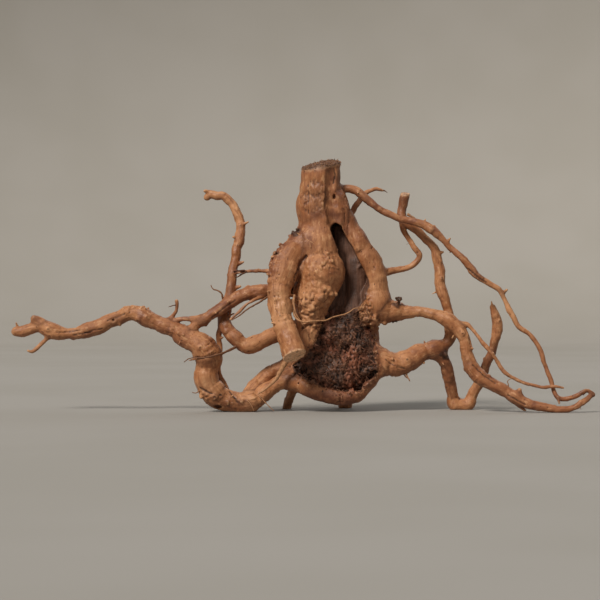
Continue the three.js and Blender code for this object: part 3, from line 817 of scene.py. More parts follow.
class Skin:
    """What a point on the skin belongs to: its place on its root, how dark the wood is or is painted as
    shade, and so on.
    """

    def __init__(self, live, dark, limbs, scars):
        self.live, self.dark, self.limbs, self.scars = live, dark, limbs, scars
        self.start = np.concatenate([limb.places[:-1] for limb in limbs])
        self.step = np.concatenate([np.diff(limb.places, axis=0) for limb in limbs])
        self.across = np.concatenate([limb.across[:-1] for limb in limbs])
        self.turned = np.concatenate([limb.turned[:-1] for limb in limbs])
        self.along = np.concatenate([limb.along[:-1] for limb in limbs])
        self.radius = np.concatenate([limb.radii[:-1, 0] for limb in limbs])
        self.owner = np.repeat(np.arange(len(limbs)), [len(limb.places) - 1 for limb in limbs])
        trunk = set(STUMP) | set(HEARTWOOD) | {"shoulder"}
        self.is_trunk = np.array([limb.name in trunk for limb in limbs])

    def heart(self, points):
        """1 on the dark inner wood and on the mouth's cut side walls, whose dark is painted shade; 0 on the
        live wood.
        """
        high = self.dark.low + (np.array(self.dark.shape) - 1) * VOXEL
        inside = np.all((points > self.dark.low) & (points < high), axis=1)
        near = self.dark.at(points, self.dark.distance)
        dark = self.live.at(points, self.live.distance) - near + 0.5 * noise(points, 4, 30)
        # Painted shade: the mouth's cut side walls are counted as heart, so they take its dark colour and
        # rot.
        wall = 1 - smooth_step(mouth_distance(points[:, 0], points[:, 2]), -0.2, 0.5)
        wall *= smooth_step(points[:, 1], -26, -12) * (points[:, 1] < MOUTH_DEPTH + 2)
        return np.maximum(smooth_step(dark, -0.6, 0.6) * inside, wall)

    def place_on_root(self, points, heart):
        """Across and along the root that a point belongs to. The trunk's parts share one upright grain."""
        own = np.maximum(self.live.nearest(points, self.live.stretch), 0)
        step = self.step[own]
        offset = points - self.start[own]
        share = np.clip((offset * step).sum(1) / (step * step).sum(1), 0, 1)
        offset = offset - share[:, None] * step
        x, y = (offset * self.across[own]).sum(1), (offset * self.turned[own]).sum(1)
        along = self.along[own] + share * np.linalg.norm(step, axis=1) + ROOTS_APART * self.owner[own]
        trunk = self.is_trunk[self.owner[own]] | (heart > 0.5)
        local = np.where(trunk[:, None], points, np.stack([x, y, along], axis=1))
        return local, np.clip(self.radius[own], 1.2, 18), trunk

    def moved(self, points, facing):
        """The skin's points after weathering: lumps, flutes along the grain, fibres, cracks, rot."""
        heart = self.heart(points)
        local, size, trunk = self.place_on_root(points, heart)
        fade = smooth_step(self.live.nearest(points, self.live.margin), 0.3, 4.0)
        fade = np.where(trunk, 1, fade)
        live = 1 - heart
        wide = size[:, None]
        flutes = noise(local / np.hstack([0.9 * wide, 0.9 * wide, 8 * wide]), 1, 1)
        lumps = rough(points, 15, 2, 2) * 0.05 * size + rough(points, 7, 4, 3) * 0.3
        move = live * (0.06 * flutes * size * fade + lumps)
        fibre = noise(local, (1.7, 1.7, 15), 7) + 0.6 * noise(local, (1.1, 1.1, 8), 8)
        move += live * fade * 0.07 * fibre * np.clip(size / 6, 0.4, 1.3)
        move -= live * fade * drying_cracks(local) * np.clip(size / 7, 0.25, 1.1)
        move += live * (worm_eaten(points, facing) + crusty(points))
        move += heart * rotted(points)
        return points + facing * move[:, None]


def drying_cracks(local):
    """Long thin grooves along the grain, on a few stretches only. How deep they are."""
    lines = creases(local, (3.6, 3.6, 46), 15)
    return 0.9 * (1 - smooth_step(lines, 0.0, 0.22)) * smooth_step(noise(local, (9, 9, 55), 16), 0.25, 0.5)


def worm_zone(points, facing):
    """The worm-eaten patch on the stem's front."""
    x, z = points[:, 0], points[:, 2]
    ragged = 3.0 * noise(points, 7, 50)
    (middle, height), (wide, tall) = WORM_PATCH
    away = np.hypot((x - middle) / wide, (z - height) / tall) * 12 + ragged
    return (1 - smooth_step(away, 9, 13)) * smooth_step(-facing[:, 1], 0.1, 0.5)


def worm_eaten(points, facing):
    bent = points + 1.5 * np.stack([noise(points, 5, seed) for seed in (51, 52, 53)], axis=1)
    ridges = creases(bent, (2.1, 5, 5), 54) + 0.5 * creases(bent, (1.6, 4, 3), 55)
    return worm_zone(points, facing) * (0.85 * ridges - 0.8)


def crust_zone(points):
    """Where scabby bark is left: the shoulder's outer edge and the rim of the rotted heart."""
    x, z = points[:, 0], points[:, 2]
    shoulder = 1 - smooth_step(x + 22 - 0.55 * (z - 156) + 2 * noise(points, 5, 60), 1, 5)
    shoulder *= smooth_step(z, 128, 140) * (1 - smooth_step(z, 184, 190)) * (x > -45)
    edge = 1 - smooth_step(np.abs(mouth_distance(x, z) - 1.5), 1.5, 5)
    edge *= (1 - smooth_step(z, 92, 104)) * smooth_step(-points[:, 1], 0, 6)
    edge *= smooth_step(np.hypot(x - 66, z - 94), 12, 18)
    return np.maximum(shoulder, edge)


def stained(points):
    """Dark stains, with ragged edges, on every side of the stretches listed."""
    x, z = points[:, 0] + 2.5 * noise(points, 8, 90), points[:, 2] + 2.5 * noise(points, 8, 91)
    stain = np.zeros(len(points))
    for middle, height, width, tall, strength in STAINS:
        away = np.hypot((x - middle) / width, (z - height) / tall)
        stain = np.maximum(stain, strength * (1 - smooth_step(away, 0.4, 1.0)))
    return np.clip(stain * (0.95 + 0.4 * noise(points, 14, 92)), 0, 1)


def crusty(points):
    return crust_zone(points) * 0.9 * rough(points, 3.4, 61, 3)


def rot_share(points):
    """1 in the rotted heart, 0 on the smooth inner wood above it."""
    ragged = points[:, 2] + 5 * noise(points, 12, 70)
    return 1 - smooth_step(ragged, ROT_TOP - 5, ROT_TOP + 7)


def rotted(points):
    """Crumbling lumps and torn shreds in the heart, and slight ribs on the smooth wood above it."""
    rot = rot_share(points)
    bent = points + 4.0 * np.stack([noise(points, 9, seed) for seed in (71, 72, 73)], axis=1)
    bent += 1.2 * np.stack([noise(points, 3, seed) for seed in (76, 77, 72)], axis=1)
    crumbs = rough(bent, (10, 9, 11), 74, 4)
    shreds = creases(bent, (3.2, 4, 10), 78) + creases(bent, (2.2, 3, 5), 79)
    ribs = 0.25 * noise(points, (2.4, 3, 40), 80) + 0.35 * rough(points, (9, 9, 30), 81, 3)
    return rot * (2.8 * crumbs + 1.5 * shreds - 1.6) + (1 - rot) * ribs


def linked(name, data):
    """A new object, in the scene."""
    thing = bpy.data.objects.new(name, data)
    bpy.context.scene.collection.objects.link(thing)
    return thing


def evaluated(thing):
    """The plain mesh that an object's modifiers make, without the object."""
    shown = thing.evaluated_get(bpy.context.evaluated_depsgraph_get())
    result = bpy.data.meshes.new_from_object(shown)
    bpy.data.objects.remove(thing)
    return result


def thinned(mesh, faces):
    """The mesh with about so many triangles, the flat places thinned first."""
    holder = linked("thinning", mesh)
    modifier = holder.modifiers.new("thin", "DECIMATE")
    modifier.ratio = min(1.0, faces / (2 * len(mesh.polygons)))
    modifier.use_collapse_triangulate = True
    return evaluated(holder)


def store(mesh, name, values):
    """Keeps a number or a vector for each point, for the finishes to read."""
    kind = "FLOAT_VECTOR" if values.ndim == 2 else "FLOAT"
    attribute = mesh.attributes.new(name, kind, "POINT")
    field = "vector" if values.ndim == 2 else "value"
    attribute.data.foreach_set(field, np.asarray(values, np.float32).ravel())


def largest_part(points, quads):
    """The skin without the crumbs that hang loose."""
    label, before = np.arange(len(points)), None
    while before is None or (label != before).any():
        before = label
        least = label[quads].min(axis=1)
        label = label.copy()
        for corner in quads.T:
            np.minimum.at(label, corner, least)
        label = label[label]
    kept = label == np.bincount(label).argmax()
    number = np.cumsum(kept) - 1
    return points[kept], number[quads[kept[quads[:, 0]]]]


def root_skin():
    """The whole root as one mesh, with what its finish needs stored on it."""
    live, dark, limbs, scars = shaped_wood()
    skin = Skin(live, dark, limbs, scars)
    whole = live.distance
    part = live.window(dark.low, dark.low + (np.array(dark.shape) - 1) * VOXEL)
    spots = np.stack(np.broadcast_arrays(*live.axes(part)), axis=-1)
    inner = dark.at(spots.reshape(-1, 3).astype(float), dark.distance).reshape(spots.shape[:3])
    whole[part] = soft_least(whole[part], inner.astype(np.float32), np.float32(0.5))
    up = live.axes(tuple(slice(0, count) for count in live.shape))[2]
    points, quads = largest_part(*drawn_skin(np.maximum(whole, -up), live.low))
    mesh = mesh_from("root_skin", points, quads)
    moved = skin.moved(points.astype(float), per_vertex(mesh, "normal"))
    moved[:, 2] = np.maximum(moved[:, 2], 0)
    mesh.vertices.foreach_set("co", moved.astype(np.float32).ravel())
    mesh.update()
    mesh = thinned(mesh, SKIN_FACES)
    finish_skin(mesh, skin)
    return mesh


def finish_skin(mesh, skin):
    """Stores what the finishes need, and brings the skin to metres and to the frame's origin."""
    points, facing = per_vertex(mesh, "co"), per_vertex(mesh, "normal")
    heart = skin.heart(points)
    local, _, _ = skin.place_on_root(points, heart)
    store(mesh, "grain", local * MM)
    # heart also covers the mouth's side walls, where its dark is painted shade.
    store(mesh, "heart", heart)
    store(mesh, "rot", rot_share(points))
    fresh, grey = sawn(points)
    store(mesh, "sawn", fresh)
    store(mesh, "sawn_grey", grey)
    store(mesh, "crust", crust_zone(points))
    store(mesh, "stain", stained(points))
    store(mesh, "frayed", frayed(points, facing))
    store(mesh, "shredded", heart * (points[:, 2] < ROT_TOP + 2) * (points[:, 1] < 0))
    # Painted shade in holes, cracks and pits; on clinging bark crumbs the dark is the bark's own.
    store(mesh, "scar", skin.scars.darkness(points))
    store(mesh, "worm", worm_zone(points, facing))
    # Painted shade: how near a point is to a crotch where two roots meet.
    store(mesh, "seam", 1 - smooth_step(skin.live.nearest(points, skin.live.margin), 0.2, 2.2))
    # Painted shade: how far a point faces down, used to darken the undersides.
    store(mesh, "under", smooth_step(-facing[:, 2], 0.0, 0.9))
    mesh.vertices.foreach_set("co", ((points - CENTRE) * MM).astype(np.float32).ravel())
    mesh.polygons.foreach_set("use_smooth", np.ones(len(mesh.polygons), bool))
    mesh.update()


def frayed(points, facing):
    """Where splinters stand: the torn stem top's edge, the crumbling end and the mouth's lower rim."""
    x, z = points[:, 0], points[:, 2]
    point, cut, reach, _ = SAW_CUTS["stem_top"]
    offset = points - np.array(point)
    height = offset @ (np.array(cut) / np.linalg.norm(cut))
    rim = 0.2 * (1 - smooth_step(np.abs(height + 0.5), 1.2, 3.0))
    rim *= np.linalg.norm(offset, axis=1) < reach
    end = np.hypot((x - CRUMBLING_END[0]) / 10, (z - CRUMBLING_END[1]) / 13)
    end = 1 - smooth_step(end, 0.6, 1.1)
    end *= smooth_step(-points[:, 1], 4, 9) * 0.35
    edge = 1 - smooth_step(np.abs(mouth_distance(x, z) - 1.0), 0.5, 3.0)
    edge *= (1 - smooth_step(z, 84, 96)) * smooth_step(-points[:, 1], 4, 9) * 0.28
    return np.maximum(np.maximum(rim, end), edge)


def sawn(points):
    """1 on the saw cuts, and how grey they are."""
    most, grey = np.zeros(len(points)), np.zeros(len(points))
    for point, facing, reach, age in SAW_CUTS.values():
        facing = np.array(facing) / np.linalg.norm(facing)
        offset = points - np.array(point)
        near = 1 - smooth_step(np.abs(offset @ facing), 1.0 + 0.8 * age, 1.6 + 1.2 * age)
        near *= np.linalg.norm(offset, axis=1) < reach
        most = np.maximum(most, near)
        grey = np.maximum(grey, near * age)
    return most, grey


# ---------------------------------------------------------------- materials

def linear(red, green, blue):
    """A colour given from 0 to 255, as the shader's linear numbers."""
    parts = (c / 255 for c in (red, green, blue))
    return tuple(c / 12.92 if c <= 0.04045 else ((c + 0.055) / 1.055) ** 2.4 for c in parts) + (1.0,)


class Graph:
    """A short way to write a tree of nodes."""

    def __init__(self, tree):
        self.tree = tree

    def add(self, kind, inputs=None, **settings):
        node = self.tree.nodes.new(kind)
        for name, value in settings.items():
            setattr(node, name, value)
        for key, value in (inputs or {}).items():
            if isinstance(value, bpy.types.NodeSocket):
                self.tree.links.new(value, node.inputs[key])
            else:
                node.inputs[key].default_value = value
        return node


class Nodes(Graph):
    """A material's nodes."""

    def __init__(self, name):
        self.material = bpy.data.materials.new(name)
        self.material.use_nodes = True
        super().__init__(self.material.node_tree)
        self.tree.nodes.clear()

    def number(self, name):
        return self.add("ShaderNodeAttribute", attribute_name=name).outputs["Fac"]

    def vector(self, name):
        return self.add("ShaderNodeAttribute", attribute_name=name).outputs["Vector"]

    def object_place(self):
        return self.add("ShaderNodeTexCoord").outputs["Object"]

    def scaled(self, vector, scale):
        return self.add("ShaderNodeMapping", {"Vector": vector, "Scale": scale}).outputs["Vector"]

    def noise(self, vector, scale, detail=3.0, roughness=0.55):
        inputs = {"Vector": vector, "Scale": scale, "Detail": detail, "Roughness": roughness}
        return self.add("ShaderNodeTexNoise", inputs).outputs["Fac"]

    def spots(self, vector, scale):
        inputs = {"Vector": vector, "Scale": scale}
        return self.add("ShaderNodeTexVoronoi", inputs).outputs["Distance"]

    def span(self, value, low, high, to_low=0.0, to_high=1.0):
        """The value's share of the way from low to high, eased."""
        inputs = {"Value": value, "From Min": low, "From Max": high, "To Min": to_low, "To Max": to_high}
        node = self.add("ShaderNodeMapRange", inputs, interpolation_type="SMOOTHSTEP")
        return node.outputs["Result"]

    def times(self, a, b):
        return self.add("ShaderNodeMath", {0: a, 1: b}, operation="MULTIPLY").outputs[0]

    def blend(self, share, a, b):
        """The colour so far from a to b."""
        return self.add("ShaderNodeMix", {0: share, 6: a, 7: b}, data_type="RGBA").outputs[2]

    def finish(self, colour, roughness, bumps):
        """bumps are (height, strength, distance in metres), laid one over the other."""
        normal = None
        for height, strength, distance in bumps:
            inputs = {"Height": height, "Strength": strength, "Distance": distance}
            if normal is not None:
                inputs["Normal"] = normal
            normal = self.add("ShaderNodeBump", inputs).outputs["Normal"]
        inputs = {"Base Color": colour, "Roughness": roughness, "Normal": normal}
        shader = self.add("ShaderNodeBsdfPrincipled", inputs)
        shader.inputs["Specular IOR Level"].default_value = 0.42
        self.add("ShaderNodeOutputMaterial", {"Surface": shader.outputs["BSDF"]})
        return self.material


def weathered_wood():
    """Bare tan root wood, streaked along the grain and stained, with painted shade in its hollows,
    undersides, root crotches, holes and cracks, painted highlights on its bumps and edges, and a dark
    heart.
    """
    n = Nodes("weathered_wood")
    place, grain = n.object_place(), n.vector("grain")
    streaks = n.noise(n.scaled(grain, (420, 420, 24)), 1.0, 4, 0.6)
    fibres = n.noise(n.scaled(grain, (1500, 1500, 70)), 1.0, 3, 0.6)
    patches = n.noise(place, 42, 4, 0.6)
    broad = n.noise(place, 13, 3, 0.5)
    wood = n.blend(n.span(patches, 0.34, 0.68), linear(162, 104, 64), linear(186, 129, 86))
    wood = n.blend(n.span(broad, 0.46, 0.62, 0.0, 0.6), wood, linear(142, 87, 56))
    wood = n.blend(n.span(broad, 0.44, 0.32, 0.0, 0.6), wood, linear(205, 151, 107))
    wood = n.blend(n.span(streaks, 0.5, 0.72, 0.0, 0.55), wood, linear(128, 76, 46))
    wood = n.blend(n.span(fibres, 0.52, 0.75, 0.0, 0.25), wood, linear(108, 62, 36))
    flecks = n.noise(n.scaled(grain, (260, 260, 120)), 1.0, 4, 0.7)
    wood = n.blend(n.span(flecks, 0.52, 0.64, 0.0, 0.5), wood, linear(120, 70, 44))
    wood = n.blend(n.span(flecks, 0.46, 0.34, 0.0, 0.5), wood, linear(212, 162, 118))
    specks = n.spots(n.scaled(grain, (210, 210, 130)), 1.0)
    rare = n.times(n.span(specks, 0.17, 0.05), n.span(patches, 0.42, 0.56))
    wood = n.blend(n.times(rare, 0.85), wood, linear(70, 38, 24))
    stains = n.times(n.span(n.noise(place, 60, 3, 0.6), 0.52, 0.66), n.span(broad, 0.42, 0.56))
    wood = n.blend(n.times(stains, 0.7), wood, linear(104, 56, 36))
    # Painted shade: surfaces that face down are darkened.
    wood = n.blend(n.times(n.number("under"), 0.35), wood, linear(112, 64, 42))
    mottled = n.span(n.noise(place, 150, 4, 0.65), 0.36, 0.6, 0.45, 1.0)
    wood = n.blend(n.times(n.number("stain"), mottled), wood, linear(94, 51, 29))
    hollow = n.add("ShaderNodeNewGeometry").outputs["Pointiness"]
    # Painted shade in hollows and creases, read from the mesh's pointiness.
    wood = n.blend(n.span(hollow, 0.495, 0.44, 0.0, 0.85), wood, linear(84, 46, 28))
    # Painted highlight on bumps and edges, read from the mesh's pointiness.
    wood = n.blend(n.span(hollow, 0.52, 0.60, 0.0, 0.5), wood, linear(222, 174, 128))
    # The worm-eaten patch: a slight darkening of its own all over, and painted shade deep in its grooves,
    # read from pointiness.
    worm = n.times(n.number("worm"), n.span(hollow, 0.51, 0.47, 0.15, 0.8))
    wood = n.blend(worm, wood, linear(104, 66, 44))
    # Painted shade in the crotches where one root flows into another.
    wood = n.blend(n.times(n.number("seam"), 0.45), wood, linear(96, 54, 34))
    scabs = n.span(n.noise(place, 330, 4), 0.42, 0.6, 0.0, 0.8)
    wood = n.blend(n.times(n.number("crust"), scabs), wood, linear(124, 72, 46))
    wood = n.blend(n.number("sawn"), wood, sawn_colour(n, place))
    # The dark heart, and painted shade on the mouth's side walls, which share its colour.
    wood = n.blend(n.number("heart"), wood, heart_colour(n, place, streaks, hollow))
    # Painted shade in holes, cracks, knot pits and pin holes; on clinging bark crumbs the dark is the
    # bark's own.
    wood = n.blend(n.times(n.number("scar"), 0.8), wood, linear(48, 26, 17))
    crumbs = n.times(n.noise(place, 420, 4, 0.7), n.span(n.number("heart"), 0.3, 0.8, 0.25, 1.0))
    roughness = n.span(patches, 0.35, 0.65, 0.4, 0.68)
    bumps = [(streaks, 0.55, 0.0008), (flecks, 0.5, 0.0006), (fibres, 0.5, 0.0004), (crumbs, 0.6, 0.0009)]
    return n.finish(wood, roughness, bumps)


def sawn_colour(n, place):
    """End grain: pale where it is fresh, grey-brown where it is old."""
    lines = n.noise(n.scaled(place, (90, 700, 500)), 1.0, 3, 0.6)
    fresh = n.blend(n.span(lines, 0.35, 0.65), linear(206, 154, 114), linear(232, 188, 148))
    old = n.blend(n.span(lines, 0.35, 0.65), linear(80, 52, 38), linear(128, 92, 66))
    colour = n.blend(n.number("sawn_grey"), fresh, old)
    return n.blend(n.span(n.noise(place, 300, 3), 0.5, 0.65, 0.0, 0.6), colour, linear(92, 62, 44))


def heart_colour(n, place, streaks, hollow):
    """Smooth purplish-brown inner wood above, crumbling black and rusty rot below, with painted shade in
    the rot's hollows and painted highlights on its crumbs.
    """
    crumbs = n.noise(place, 240, 5, 0.7)
    rusty = n.noise(place, 34, 3, 0.6)
    shade = n.noise(place, 46, 2, 0.5)
    rot = n.blend(n.span(crumbs, 0.36, 0.66), linear(46, 27, 19), linear(122, 82, 60))
    rot = n.blend(n.span(rusty, 0.44, 0.58, 0.0, 0.8), rot, linear(144, 86, 62))
    rot = n.blend(n.span(shade, 0.5, 0.66, 0.0, 0.7), rot, linear(34, 19, 13))
    # Painted shade in the rot's hollows.
    rot = n.blend(n.span(hollow, 0.49, 0.42, 0.0, 0.9), rot, linear(22, 12, 8))
    # Painted highlight on the tops of the rot's crumbs.
    rot = n.blend(n.span(hollow, 0.54, 0.64, 0.0, 0.5), rot, linear(160, 112, 84))
    plate = n.blend(n.span(streaks, 0.35, 0.65), linear(76, 50, 38), linear(110, 76, 59))
    return n.blend(n.number("rot"), plate, rot)


def made_object(name, mesh, material):
    """A piece of the root, in its finish."""
    thing = linked(name, mesh)
    mesh.materials.clear()
    mesh.materials.append(material)
    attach(thing, BODY)
    return thing


# ---------------------------------------------------------------- rootlets and splinters

# Hair roots and twigs too fine for the skin: a tone from 0 dark to 1 pale, then [x, y, z, radius]
ROOTLETS = {
    "across_mouth": (0.95, [
        [-9, -28, 112, 1.2], [-8, -31, 102, 1.1], [-4, -34, 93, 1.1], [3, -36, 89.5, 1.0],
        [12, -36, 90.5, 1.0], [24, -33, 91, 0.95], [33, -29, 94.5, 0.9], [45, -25, 97.5, 0.9],
        [53, -22, 102.5, 0.8], [59, -18, 103, 0.8], [64, -14, 107, 0.7],
    ]),
    "on_burl": (0.9, [
        [-6, -27, 116, 1.3], [-7, -30, 108, 1.5], [-5, -31, 99, 1.4], [0, -30, 90, 1.1],
        [4, -30, 84, 0.8],
    ]),
    "over_foot": (0.85, [
        [-11, -18, 55, 3.0], [-16, -18, 47, 3.0], [-20, -17, 40, 2.8], [-24, -17, 33, 2.5],
        [-30, -17, 27, 2.1], [-36, -17, 22, 1.8], [-42, -18, 18, 1.3],
    ]),
    "curly": (0.5, [
        [-77, 4, 108, 1.3], [-77.5, 0, 113, 1.2], [-79, -2, 118, 1.1], [-83, -3, 120.5, 1.1],
        [-87, -4, 122, 1.0], [-89, -4, 126, 0.8],
    ]),
    "side_fork": (0.15, [
        [-54, 13, 139.5, 1.2], [-59, 10, 137, 1.1], [-62, 8, 134.5, 1.0], [-65, 7, 134, 0.9],
        [-67, 7, 136, 0.8],
    ]),
    "side_dark_tip": (0.0, [[-56, 12, 140.5, 1.3], [-62, 8, 140, 1.2], [-67, 6, 140, 0.9]]),
    "upper_twig_second": (0.3, [
        [-30, -10, 116, 1.2], [-42, -18, 108, 1.1], [-51, -20, 103, 1.1], [-60, -20, 96, 1.1],
        [-68, -17, 91, 0.9],
    ]),
    "knee_hair": (0.2, [
        [-64, -14, 65, 1.1], [-72, -18, 61, 1.1], [-79, -21.5, 58, 1.1], [-88, -23.5, 55.5, 1.1],
        [-97, -22.5, 54, 1.0], [-104, -20, 54, 1.0], [-109, -18, 53.5, 0.9], [-112, -17, 52, 0.9],
        [-115, -18, 49.5, 0.8],
    ]),
    "foot_hair": (0.6, [
        [-41, -12, 16, 0.7], [-36, -16, 11, 0.6], [-30, -18, 5, 0.5], [-26, -18, 1.5, 0.45],
    ]),
    "foot_hair_low": (0.6, [[-54, -13, 13, 0.7], [-49, -21, 8, 0.5], [-46, -22, 2, 0.45]]),
    "foot_thorn": (0.5, [[-98, -14, 22, 0.8], [-104, -16, 19, 0.7], [-107, -17, 20, 0.5]]),
    "spur_tip": (0.1, [[82, 31, 222, 1.1], [85, 31, 221.5, 0.8], [88, 31, 219.5, 0.5]]),
    "riser_spur": (0.6, [[107, 11, 197, 1.5], [113, 10, 193.5, 1.4], [118, 9, 190.5, 1.0]]),
    "outer_hair": (0.6, [
        [203, -19, 20, 0.7], [205, -21, 27, 0.5], [204, -22, 31, 0.45], [208, -23, 34, 0.4],
    ]),
    "low_root_thorn": (0.3, [[102, 2, 39, 1.0], [105, 1, 34, 0.9], [108, 0, 32.5, 0.7]]),
    "peg_hair": (0.1, [[-124, -8, 106, 0.6], [-128, -9, 105, 0.5], [-131, -9, 104, 0.4]]),
    "shoulder_thread": (0.95, [
        [-3, -16, 177, 0.5], [4, -20.5, 172, 0.5], [12, -24.5, 167, 0.5], [20, -26, 160, 0.45],
    ]),
    "shoulder_thread_low": (0.95, [[2, -17, 178, 0.45], [8, -22, 170, 0.45], [10, -25.5, 163, 0.4]]),
}


def growth(name, numbers):
    """A Geometry Nodes group whose inputs are a mesh, some numbers and a material."""
    tree = bpy.data.node_groups.new(name, "GeometryNodeTree")
    tree.interface.new_socket("Geometry", in_out="INPUT", socket_type="NodeSocketGeometry")
    for label in numbers:
        tree.interface.new_socket(label, in_out="INPUT", socket_type="NodeSocketFloat")
    tree.interface.new_socket("Material", in_out="INPUT", socket_type="NodeSocketMaterial")
    tree.interface.new_socket("Geometry", in_out="OUTPUT", socket_type="NodeSocketGeometry")
    graph = Graph(tree)
    return graph, graph.add("NodeGroupInput").outputs


def end_growth(graph, geometry, material):
    real = graph.add("GeometryNodeRealizeInstances", {"Geometry": geometry})
    smooth = graph.add("GeometryNodeSetShadeSmooth", {"Geometry": real.outputs[0]})
    painted = graph.add("GeometryNodeSetMaterial", {"Geometry": smooth.outputs[0], "Material": material})
    graph.add("NodeGroupOutput", {"Geometry": painted.outputs[0]})
    return graph.tree


def grown(name, mesh, tree, numbers, material):
    """The plain mesh that the group makes of a mesh, as a piece of the root."""
    seed_bed = linked("seed_bed", mesh)
    modifier = seed_bed.modifiers.new("growth", "NODES")
    modifier.node_group = tree
    for socket in tree.interface.items_tree:
        if socket.in_out == "INPUT" and socket.name in numbers:
            modifier[socket.identifier] = float(numbers[socket.name])
        elif socket.in_out == "INPUT" and socket.name == "Material":
            modifier[socket.identifier] = material
    seed_bed.update_tag()
    result = evaluated(seed_bed)
    result.name = name
    return made_object(name, result, material)


def tube_growth():
    """Lines into round tubes, as thick as their points say, and slightly bent."""
    graph, given = growth("tubes", ["Sides", "Bend"])
    curve = graph.add("GeometryNodeMeshToCurve", {"Mesh": given["Geometry"]})
    wobble = graph.add("ShaderNodeTexNoise", {"Scale": 260.0, "Detail": 2.0})
    inputs = {0: wobble.outputs["Color"], 1: (0.5, 0.5, 0.5)}
    centred = graph.add("ShaderNodeVectorMath", inputs, operation="SUBTRACT")
    inputs = {0: centred.outputs[0], "Scale": given["Bend"]}
    offset = graph.add("ShaderNodeVectorMath", inputs, operation="SCALE")
    bent = graph.add("GeometryNodeSetPosition", {"Geometry": curve.outputs[0], "Offset": offset.outputs[0]})
    ring = graph.add("GeometryNodeCurvePrimitiveCircle", {"Resolution": given["Sides"], "Radius": 1.0})
    thick = graph.add("GeometryNodeInputNamedAttribute", {"Name": "thick"}, data_type="FLOAT")
    inputs = {"Curve": bent.outputs[0], "Profile Curve": ring.outputs[0], "Scale": thick.outputs[0]}
    tube = graph.add("GeometryNodeCurveToMesh", {**inputs, "Fill Caps": True})
    return end_growth(graph, tube.outputs[0], given["Material"])


def splinter_growth(name, mask):
    """Thin splinters over a skin where its mask says so, leaning about every way."""
    labels = ["Density", "Shortest", "Longest", "Thickness", "Lean", "Seed"]
    graph, given = growth(name, labels)
    here = graph.add("GeometryNodeInputNamedAttribute", {"Name": mask}, data_type="FLOAT")
    dense = graph.add("ShaderNodeMath", {0: here.outputs[0], 1: given["Density"]}, operation="MULTIPLY")
    spread = {"Mesh": given["Geometry"], "Density": dense.outputs[0], "Seed": given["Seed"]}
    points = graph.add("GeometryNodeDistributePointsOnFaces", spread)
    tone = graph.add("FunctionNodeRandomValue", {"Min": 0.0, "Max": 1.0, "Seed": 3}, data_type="FLOAT")
    stored = {"Geometry": points.outputs["Points"], "Name": "tone", "Value": tone.outputs[1]}
    marked = graph.add("GeometryNodeStoreNamedAttribute", stored, data_type="FLOAT", domain="POINT")
    back = graph.add("ShaderNodeMath", {0: given["Lean"], 1: -1.0}, operation="MULTIPLY")
    low = graph.add("ShaderNodeCombineXYZ", {"X": back.outputs[0], "Y": back.outputs[0], "Z": -3.1})
    high = graph.add("ShaderNodeCombineXYZ", {"X": given["Lean"], "Y": given["Lean"], "Z": 3.1})
    span = {0: low.outputs[0], 1: high.outputs[0], "Seed": 5}
    lean = graph.add("FunctionNodeRandomValue", span, data_type="FLOAT_VECTOR")
    turn = graph.add("FunctionNodeEulerToRotation", {"Euler": lean.outputs[0]})
    inputs = {"Rotation": points.outputs["Rotation"], "Rotate By": turn.outputs[0]}
    rotation = graph.add("FunctionNodeRotateRotation", inputs, rotation_space="LOCAL")
    span = {2: given["Shortest"], 3: given["Longest"], "Seed": 7}
    length = graph.add("FunctionNodeRandomValue", span, data_type="FLOAT")
    size = {"X": given["Thickness"], "Y": given["Thickness"], "Z": length.outputs[1]}
    scale = graph.add("ShaderNodeCombineXYZ", size)
    sides = {"Vertices": 5, "Side Segments": 2, "Radius Bottom": 1.0, "Depth": 1.0}
    cone = graph.add("GeometryNodeMeshCone", sides)
    inputs = {"Points": marked.outputs[0], "Instance": cone.outputs["Mesh"]}
    inputs |= {"Rotation": rotation.outputs[0], "Scale": scale.outputs[0]}
    placed = graph.add("GeometryNodeInstanceOnPoints", inputs)
    return end_growth(graph, placed.outputs[0], given["Material"])


def rootlet_lines():
    """The rootlets as lines, each point with its thickness and tone."""
    mesh = bpy.data.meshes.new("rootlet_lines")
    points, edges, thick, tones = [], [], [], []
    for number, (tone, course) in enumerate(ROOTLETS.values()):
        places, radii = resampled(course, 1.4)
        first = len(points)
        points += [tuple(place) for place in (places - CENTRE) * MM]
        edges += [(first + k, first + k + 1) for k in range(len(places) - 1)]
        knotty = 1 + 0.12 * np.sin(1.7 * np.arange(len(places)) + number)
        thick.append(radii[:, 0] * np.linspace(1, 0.55, len(places)) * knotty * MM)
        tones.append(np.full(len(places), tone))
    mesh.from_pydata(points, edges, [])
    store(mesh, "thick", np.concatenate(thick))
    store(mesh, "tone", np.concatenate(tones))
    return mesh


def toned_wood(name, dark, pale):
    """Plain wood between two colours, each bit of it as its own tone says."""
    n = Nodes(name)
    place = n.object_place()
    streaks = n.noise(n.scaled(place, (700, 700, 300)), 1.0, 3)
    colour = n.blend(n.number("tone"), linear(*dark), linear(*pale))
    colour = n.blend(n.span(streaks, 0.45, 0.7, 0.0, 0.55), colour, linear(*dark))
    return n.finish(colour, n.span(streaks, 0.3, 0.7, 0.6, 0.8), [(streaks, 0.5, 0.0004)])


